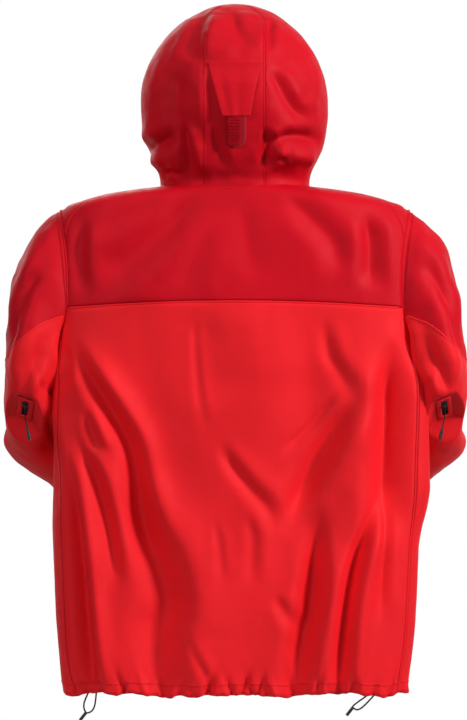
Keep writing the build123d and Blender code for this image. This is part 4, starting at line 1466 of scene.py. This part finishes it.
def drape_hood(grid):
    n = grid_normals(grid)
    if ((grid - HOOD_MIDDLE) * n).sum() < 0:
        n = -n
    x, z = grid[..., 0], grid[..., 2]
    back = ease((n[..., 1] + 0.25) / 0.5)
    move = folds(x, z, HOOD_FOLDS) * HOOD_DEPTH * back
    silhouette = 0.35 + 0.65 * ease((np.abs(n[..., 1]) - 0.15) / 0.4)
    move += (rumple(grid, 0.050, 0.0046, 41.0, (1, 1, 0.7)) + rumple(grid, 0.020, 0.0016, 47.0)) * silhouette
    move *= ease(z / 0.015) * 0.9 + 0.1
    move *= ease((0.287 - z) / 0.02)
    for sign in (1, -1):
        away = np.linalg.norm(grid - EYELET * [sign, 1, 1], axis=-1)
        move *= ease((away - 0.008) / 0.02)
    under_flap = ease((0.052 - np.abs(x)) / 0.02) * ease((z - 0.05) / 0.02) * ease((0.20 - z) / 0.02) * back
    move = np.where(move > 0, move * (1 - under_flap), move)
    return move, n


hood_grids = hood_panels()
whole = np.concatenate([hood_grids[0], hood_grids[1][:, 1:-1], hood_grids[2]], 1)
shift, hood_n = drape_hood(whole)
seam_a = hood_grids[0].shape[1] - 1
seam_b = seam_a + hood_grids[1].shape[1] - 1
for seam in (seam_a, seam_b):
    distance = np.linalg.norm(whole - whole[:, seam : seam + 1], axis=-1)
    shift -= 0.0006 * np.exp(-((distance / 0.004) ** 2)) * ease((0.28 - whole[..., 2]) / 0.03)
hood = whole + hood_n * shift[..., None]
hood_n = grid_normals(hood) * (1 if (grid_normals(hood) * hood_n).sum() > 0 else -1)
HOOD_BLEND = ("shell", "hood", (0, 0, 0.004), (0, 0, 0.055))
for name, part, node in (
    ("hood_side_cloth_left", hood[:, : seam_a + 1], "hood_side_panel_left"),
    ("hood_centre_cloth", hood[:, seam_a : seam_b + 1], "hood_centre_panel"),
    ("hood_side_cloth_right", hood[:, seam_b:], "hood_side_panel_right"),
):
    obj = cloth_piece(name, part, crimson, thick=0)
    thicken(obj, CLOTH, -1 if (grid_normals(part) * (part - HOOD_MIDDLE)).sum() > 0 else 1)
    fit(obj, HOOD_BLEND, node=node)
hood_tree = BVHTree.FromPolygons([tuple(p) for p in hood.reshape(-1, 3)], grid_faces(*hood.shape[:2]))

crown = HOOD_ROWS - 12
lines, sewn = [], []
for col, step in ((seam_a, 1), (seam_b, -1)):
    p, n = hood[2:crown, col], hood_n[2:crown, col]
    lines.append(lifted(p, n))
    side = unit(hood[2:crown, col - step] - p)
    sewn.append((p + side * 0.0026 + n * 0.0003, n))
edge_rows = slice(4, 92)
for col, step in ((0, 1), (hood.shape[1] - 1, -1)):
    p, n = hood[edge_rows, col + 3 * step], hood_n[edge_rows, col + 3 * step]
    sewn.append(lifted(p, n, 0.0004))
for obj in (
    seam_ridge("hood_seams", lines, crimson, 0.0014, 0.0004), stitches("hood_stitches", sewn, thread),
):
    fit(obj, HOOD_BLEND)
p, n = hood[0, 6:-6], hood_n[0, 6:-6]
neck = seam_ridge(
    "neck_seam",
    [(p + n * 0.0006 + [0, 0, 0.001], unit(n + [0, 0, 0.6]))],
    crimson, 0.0030, 0.0016,
)
fit(neck, "shell")


def brim_grid():
    """The stiffened peak, an arc that reaches forward from the face opening."""
    x, t = np.meshgrid(np.linspace(-0.0915, 0.0915, 70), np.linspace(0, 1, 22))
    knots = np.array(HOOD)
    front_y = -0.150 - 0.054 * np.sqrt(np.clip(1 - (x / 0.0985) ** 2, 0, 1))
    away = np.zeros_like(x)
    for _ in range(3):
        z = 0.150 + 0.119 * away + (0.078 - 0.1 * away) * np.sqrt(
            np.clip(1 - (x / (0.1055 - 0.2 * away)) ** 2, 0, 1)
        )
        half, hood_front, back = through(knots[:, 0], knots[:, 1:4], z[0]).T
        deep = (back - hood_front) / 2
        inner_y = (back + hood_front) / 2 - deep * (
            1 - np.clip(np.abs(x[0]) / half, 0, 0.98) ** 2.2
        ) ** (1 / 2.2)
        start = np.maximum(inner_y + 0.001, front_y[0])
        y = start + (front_y - start) * t
        away = np.clip(-0.150 - y, -0.01, 0.06)
    return np.stack([x, y, z - 0.0008], -1)


brim = brim_grid()
brim_obj = cloth_piece("hood_brim_cloth", brim, crimson, thick=0.0022, flip=True)
fit(brim_obj, "hood", node="hood_brim")
up = np.zeros_like(brim)
up[..., 2] = 1
rows = [(brim[i, 3:-3] + [0, 0, 0.0004], up[i, 3:-3]) for i in (20, 16, 12)]
sewn = stitches("brim_stitches", rows, thread)
fit(sewn, "hood")

# ---------------------------------------------------------------- hood adjuster


def hood_behind(x, z):
    """y of the hood's back at a place."""
    hit = hood_tree.ray_cast(Vector((x, 0.3, z)), Vector((0, -1, 0)))
    return hit[0].y if hit[0] is not None else 0.0


def patch_grid():
    z = np.linspace(0.0605, 0.1675, 60)
    t = np.linspace(-1, 1, 14)
    grid = np.zeros((60, 14, 3))
    for i, height in enumerate(z):
        low = max(0.0, 1 - (height - 0.0600) / 0.015)
        wide = 0.015 * math.sqrt(max(0.0, 1 - low**2))
        for j, share in enumerate(t):
            x = -0.002 + share * wide
            grid[i, j] = (x, hood_behind(x, height) + 0.0008, height)
    return grid


patch = cloth_piece("adjuster_patch_pile", patch_grid(), loop_pile, thick=0.0006, flip=True)
fit(patch, "hood", node="adjuster_loop_patch")


def flap_grid():
    """The trapezoid flap: sewn along its top, it follows the hood a little and then hangs straight."""
    t, s = np.meshgrid(np.linspace(0, 1, 60), np.linspace(-1, 1, 44), indexing="ij")
    z = 0.186 - 0.080 * t
    half = 0.040 - 0.020 * t
    x = s * half + 0.0012 * np.sin(t * 3) - 0.002 * t
    y = 0.0636 + 0.0078 * ease(t / 0.42) - 0.0004 * t
    edge = np.abs(s) ** 3
    y = y - 0.0030 * edge * ease(1 - t) + 0.0012 * (1 - s**2) * np.sin(t * math.pi)
    y += 0.0008 * np.exp(
        -(((s - 0.35 + 0.2 * t) / 0.2) ** 2)
    ) * ease(t * 2) - 0.0006 * np.exp(-(((s + 0.25) / 0.2) ** 2)) * ease(t * 3)
    y += 0.0038 * ease((s - 0.5) / 0.5) * np.sin(t * math.pi) * (1 - 0.3 * t)
    return np.stack([x, y, z], -1)


flap = flap_grid()
flap_obj = cloth_piece("adjuster_flap_cloth", flap, crimson, thick=0.0012, flip=True)
fit(flap_obj, "hood_adjuster", node="adjuster_flap")
flap_n = np.zeros_like(flap)
flap_n[..., 1] = 1
sewn = [(flap[i, 2:-2] + [0, 0.0004, 0], flap_n[i, 2:-2]) for i in (2, 5)]
sewn += [(flap[4:-2, j] + [0, 0.0004, 0], flap_n[4:-2, j]) for j in (2, 41)]
sewn += [(flap[56, 3:-3] + [0, 0.0004, 0], flap_n[56, 3:-3])]
flap_sewn = stitches("adjuster_stitches", sewn, thread)
fit(flap_sewn, "hood_adjuster")
edge_line = [(flap[:, j], flap_n[:, j]) for j in (0, 43)] + [(flap[59], flap_n[59])]
edge_ridge = seam_ridge("adjuster_edge", edge_line, crimson, 0.0009, 0.0006)
fit(edge_ridge, "hood_adjuster")


def strap_grid():
    """The ribbed strap, from under the flap's foot down onto the patch."""
    t, s = np.meshgrid(np.linspace(0, 1, 120), np.linspace(-1, 1, 10), indexing="ij")
    z = 0.108 - 0.0435 * t
    y = np.array([max(0.0702 - 0.0205 * a, hood_behind(0, h) + 0.0022) for a, h in zip(t[:, 0], z[:, 0])])
    for _ in range(30):
        y = np.r_[y[0], (y[:-2] + 2 * y[1:-1] + y[2:]) / 4, y[-1]]
    rib = 0.0011 * np.abs(np.sin(t * math.pi * 20)) * (1 - s**8)
    corner = ease((1 - t) / 0.05)
    x = s * (0.0100 + 0.0008 * corner) + 0.0018
    return np.stack([x, y[:, None] + rib + 0 * s, z], -1)


strap = cloth_piece("adjuster_strap_webbing", strap_grid(), webbing, thick=0.0012, flip=True)
fit(strap, "hood_adjuster", node="adjuster_strap")

# ---------------------------------------------------------------- hanger loop


def hanger_grid():
    """A narrow strap in an arch, its feet turned back to the yoke."""
    turn = np.linspace(0, math.pi / 2, 8)
    path = [(0.0289, 0.0, -0.0240), (0.0289, 0.0, -0.010)]
    path += [(0.0205 + 0.0084 * math.cos(a), 0.0, -0.0078 + 0.0084 * math.sin(a)) for a in turn]
    left = np.array(path)
    half = np.concatenate([left, [[0.0, 0.0, 0.0006]]])
    route = np.concatenate([half, mirror_grid(left)[::-1]])
    across = np.linspace(-0.0038, 0.0038, 7)
    grid = route[:, None] + np.stack([across * 0, across, across * 0], -1)[None]
    return grid


hanger = cloth_piece("hanger_loop_webbing", hanger_grid(), webbing, thick=0.0013)
fit(hanger, "shell", node="hanger_loop")
for side, sign in SIDES:
    y, s = np.meshgrid(np.linspace(0.001, 0.0125, 8), np.linspace(-1, 1, 6), indexing="ij")
    grid = np.stack([sign * 0.0280 + 0.0038 * s, y, -0.0232 + 0.0006 * np.cos(s * 1.5)], -1)
    fit(cloth_piece(f"hanger_foot_{side}", grid, webbing, thick=0.0030), "shell")

# ---------------------------------------------------------------- free cords


def free_cord(name, route, radius, body_name, node):
    """A cord on a smooth curve through its given points."""
    curve = bpy.data.curves.new(name, "CURVE")
    curve.dimensions = "3D"
    curve.bevel_depth, curve.bevel_resolution, curve.resolution_u = radius, 4, 10
    curve.use_fill_caps = True
    spline = curve.splines.new("NURBS")
    spline.points.add(len(route) - 1)
    for point, place in zip(spline.points, route):
        point.co = (*place, 1)
    spline.order_u = 3
    spline.use_endpoint_u = True
    obj = bpy.data.objects.new(name, curve)
    bpy.context.scene.collection.objects.link(obj)
    curve.materials.append(cord)
    return fit(obj, body_name, node)


# Each loop's Y, its length and its points. A helper script printed the two Y values, and the points of
# SIDE_CORD, from part.py. The loops' points were typed in.
HEM_LOOPS = {
    "left": (
        -0.029163, 0.0701,
        [
            (0.221, 0, -0.757), (0.225, 0.002, -0.765), (0.2285, 0.004, -0.776), (0.2258, 0.004, -0.7853),
            (0.2227, 0.004, -0.7878), (0.214, 0.003, -0.784), (0.210, 0.002, -0.772), (0.209, 0, -0.757),
        ],
    ),
    "right": (
        -0.026785, 0.0820,
        [
            (-0.204, 0, -0.757), (-0.198, 0.002, -0.762), (-0.187, 0.005, -0.769),
            (-0.1762, 0.006, -0.7773), (-0.1793, 0.006, -0.7798), (-0.185, 0.005, -0.783),
            (-0.196, 0.003, -0.776), (-0.213, 0, -0.757),
        ],
    ),
}
for side, (at_y, length, steps) in HEM_LOOPS.items():
    route = [(x, at_y + y, z) for x, y, z in steps]
    loop = free_cord(f"hem_loop_cord_{side}", route, CORD_R, "shell", f"hem_loop_{side}")
SIDE_CORD = [
    (0.316510, -0.020894, -0.325564), (0.317831, -0.029690, -0.331143), (0.315831, -0.029690, -0.345143),
    (0.312831, -0.028690, -0.359143),
]
for side, sign in SIDES:
    route = [(x * sign, y, z) for x, y, z in SIDE_CORD]
    pull = free_cord(f"side_zip_pull_{side}", route, 0.0010, f"side_slider_{side}", f"side_zip_cord_{side}")

# ---------------------------------------------------------------- hard pieces from the CAD

KEPT = {
    metal: ["zip_slider", "zip_pull", "zip_top_stops", "zip_bottom_box", "hood_eyelets"]
    + [
        f"{piece}_{side}"
        for piece in ("pocket_slider", "pocket_pull", "side_zip_slider") for side in ("left", "right")
    ],
    plastic: ["hem_cord_locks", "hem_loop_ends"]
    + [f"{piece}_{side}" for piece in ("hem_lock_button", "side_zip_tip") for side in ("left", "right")],
}
for material, names in KEPT.items():
    for name in names:
        data = bpy.data.objects[name].data
        data.materials.clear()
        data.materials.append(material)

# ---------------------------------------------------------------- floor, light, camera

paint = plastic_material("floor_paint", (0.5, 0.5, 0.5), 0.7)
turn = np.linspace(0, 2 * math.pi, 64, endpoint=False)
disc = np.stack([0.46 * np.cos(turn), -0.06 + 0.46 * np.sin(turn), 0 * turn - 0.87], -1)
floor = make_mesh("studio_floor", disc, [tuple(range(64))], paint)

world = bpy.data.worlds.new("studio")
bpy.context.scene.world = world
world.use_nodes = True
tree = world.node_tree
background = tree.nodes["Background"]
direction = tree.nodes.new("ShaderNodeTexCoord")
split = tree.nodes.new("ShaderNodeSeparateXYZ")
fade = tree.nodes.new("ShaderNodeMapRange")
fade.inputs["From Min"].default_value = -0.94
fade.inputs["From Max"].default_value = -0.55
fade.inputs["To Min"].default_value = 1.0
fade.inputs["To Max"].default_value = 0.2
tree.links.new(direction.outputs["Generated"], split.inputs[0])
tree.links.new(split.outputs["Y"], fade.inputs["Value"])
tree.links.new(fade.outputs[0], background.inputs["Strength"])
background.inputs["Color"].default_value = (1, 1, 1, 1)


def area_light(name, place, target, size, power):
    data = bpy.data.lights.new(name, "AREA")
    data.size, data.energy, data.shape = size, power, "SQUARE"
    obj = bpy.data.objects.new(name, data)
    obj.location = place
    obj.rotation_euler = (Vector(target) - Vector(place)).to_track_quat("-Z", "Y").to_euler()
    bpy.context.scene.collection.objects.link(obj)


area_light("key", (-2.5, 1.6, 1.1), (0, 0, -0.3), 0.6, 98)
area_light("fill", (1.9, 2.6, 1.2), (0, 0, -0.3), 1.0, 36)
area_light("top", (0.2, 0.3, 2.2), (0, 0, 0), 1.2, 8)
area_light("front", (0.8, -2.6, 1.0), (0, 0, -0.25), 1.8, 34)

camera = bpy.data.cameras.new("camera")
camera.sensor_width, camera.lens = 36, 36 * 5.0 / 1.080
rig = bpy.data.objects.new("camera", camera)
rig.location = (0.002, 5.0, -0.255)
rig.rotation_euler = (math.pi / 2, 0, math.pi)
bpy.context.scene.collection.objects.link(rig)
bpy.context.scene.camera = rig
bpy.context.scene.view_settings.view_transform = "Standard"
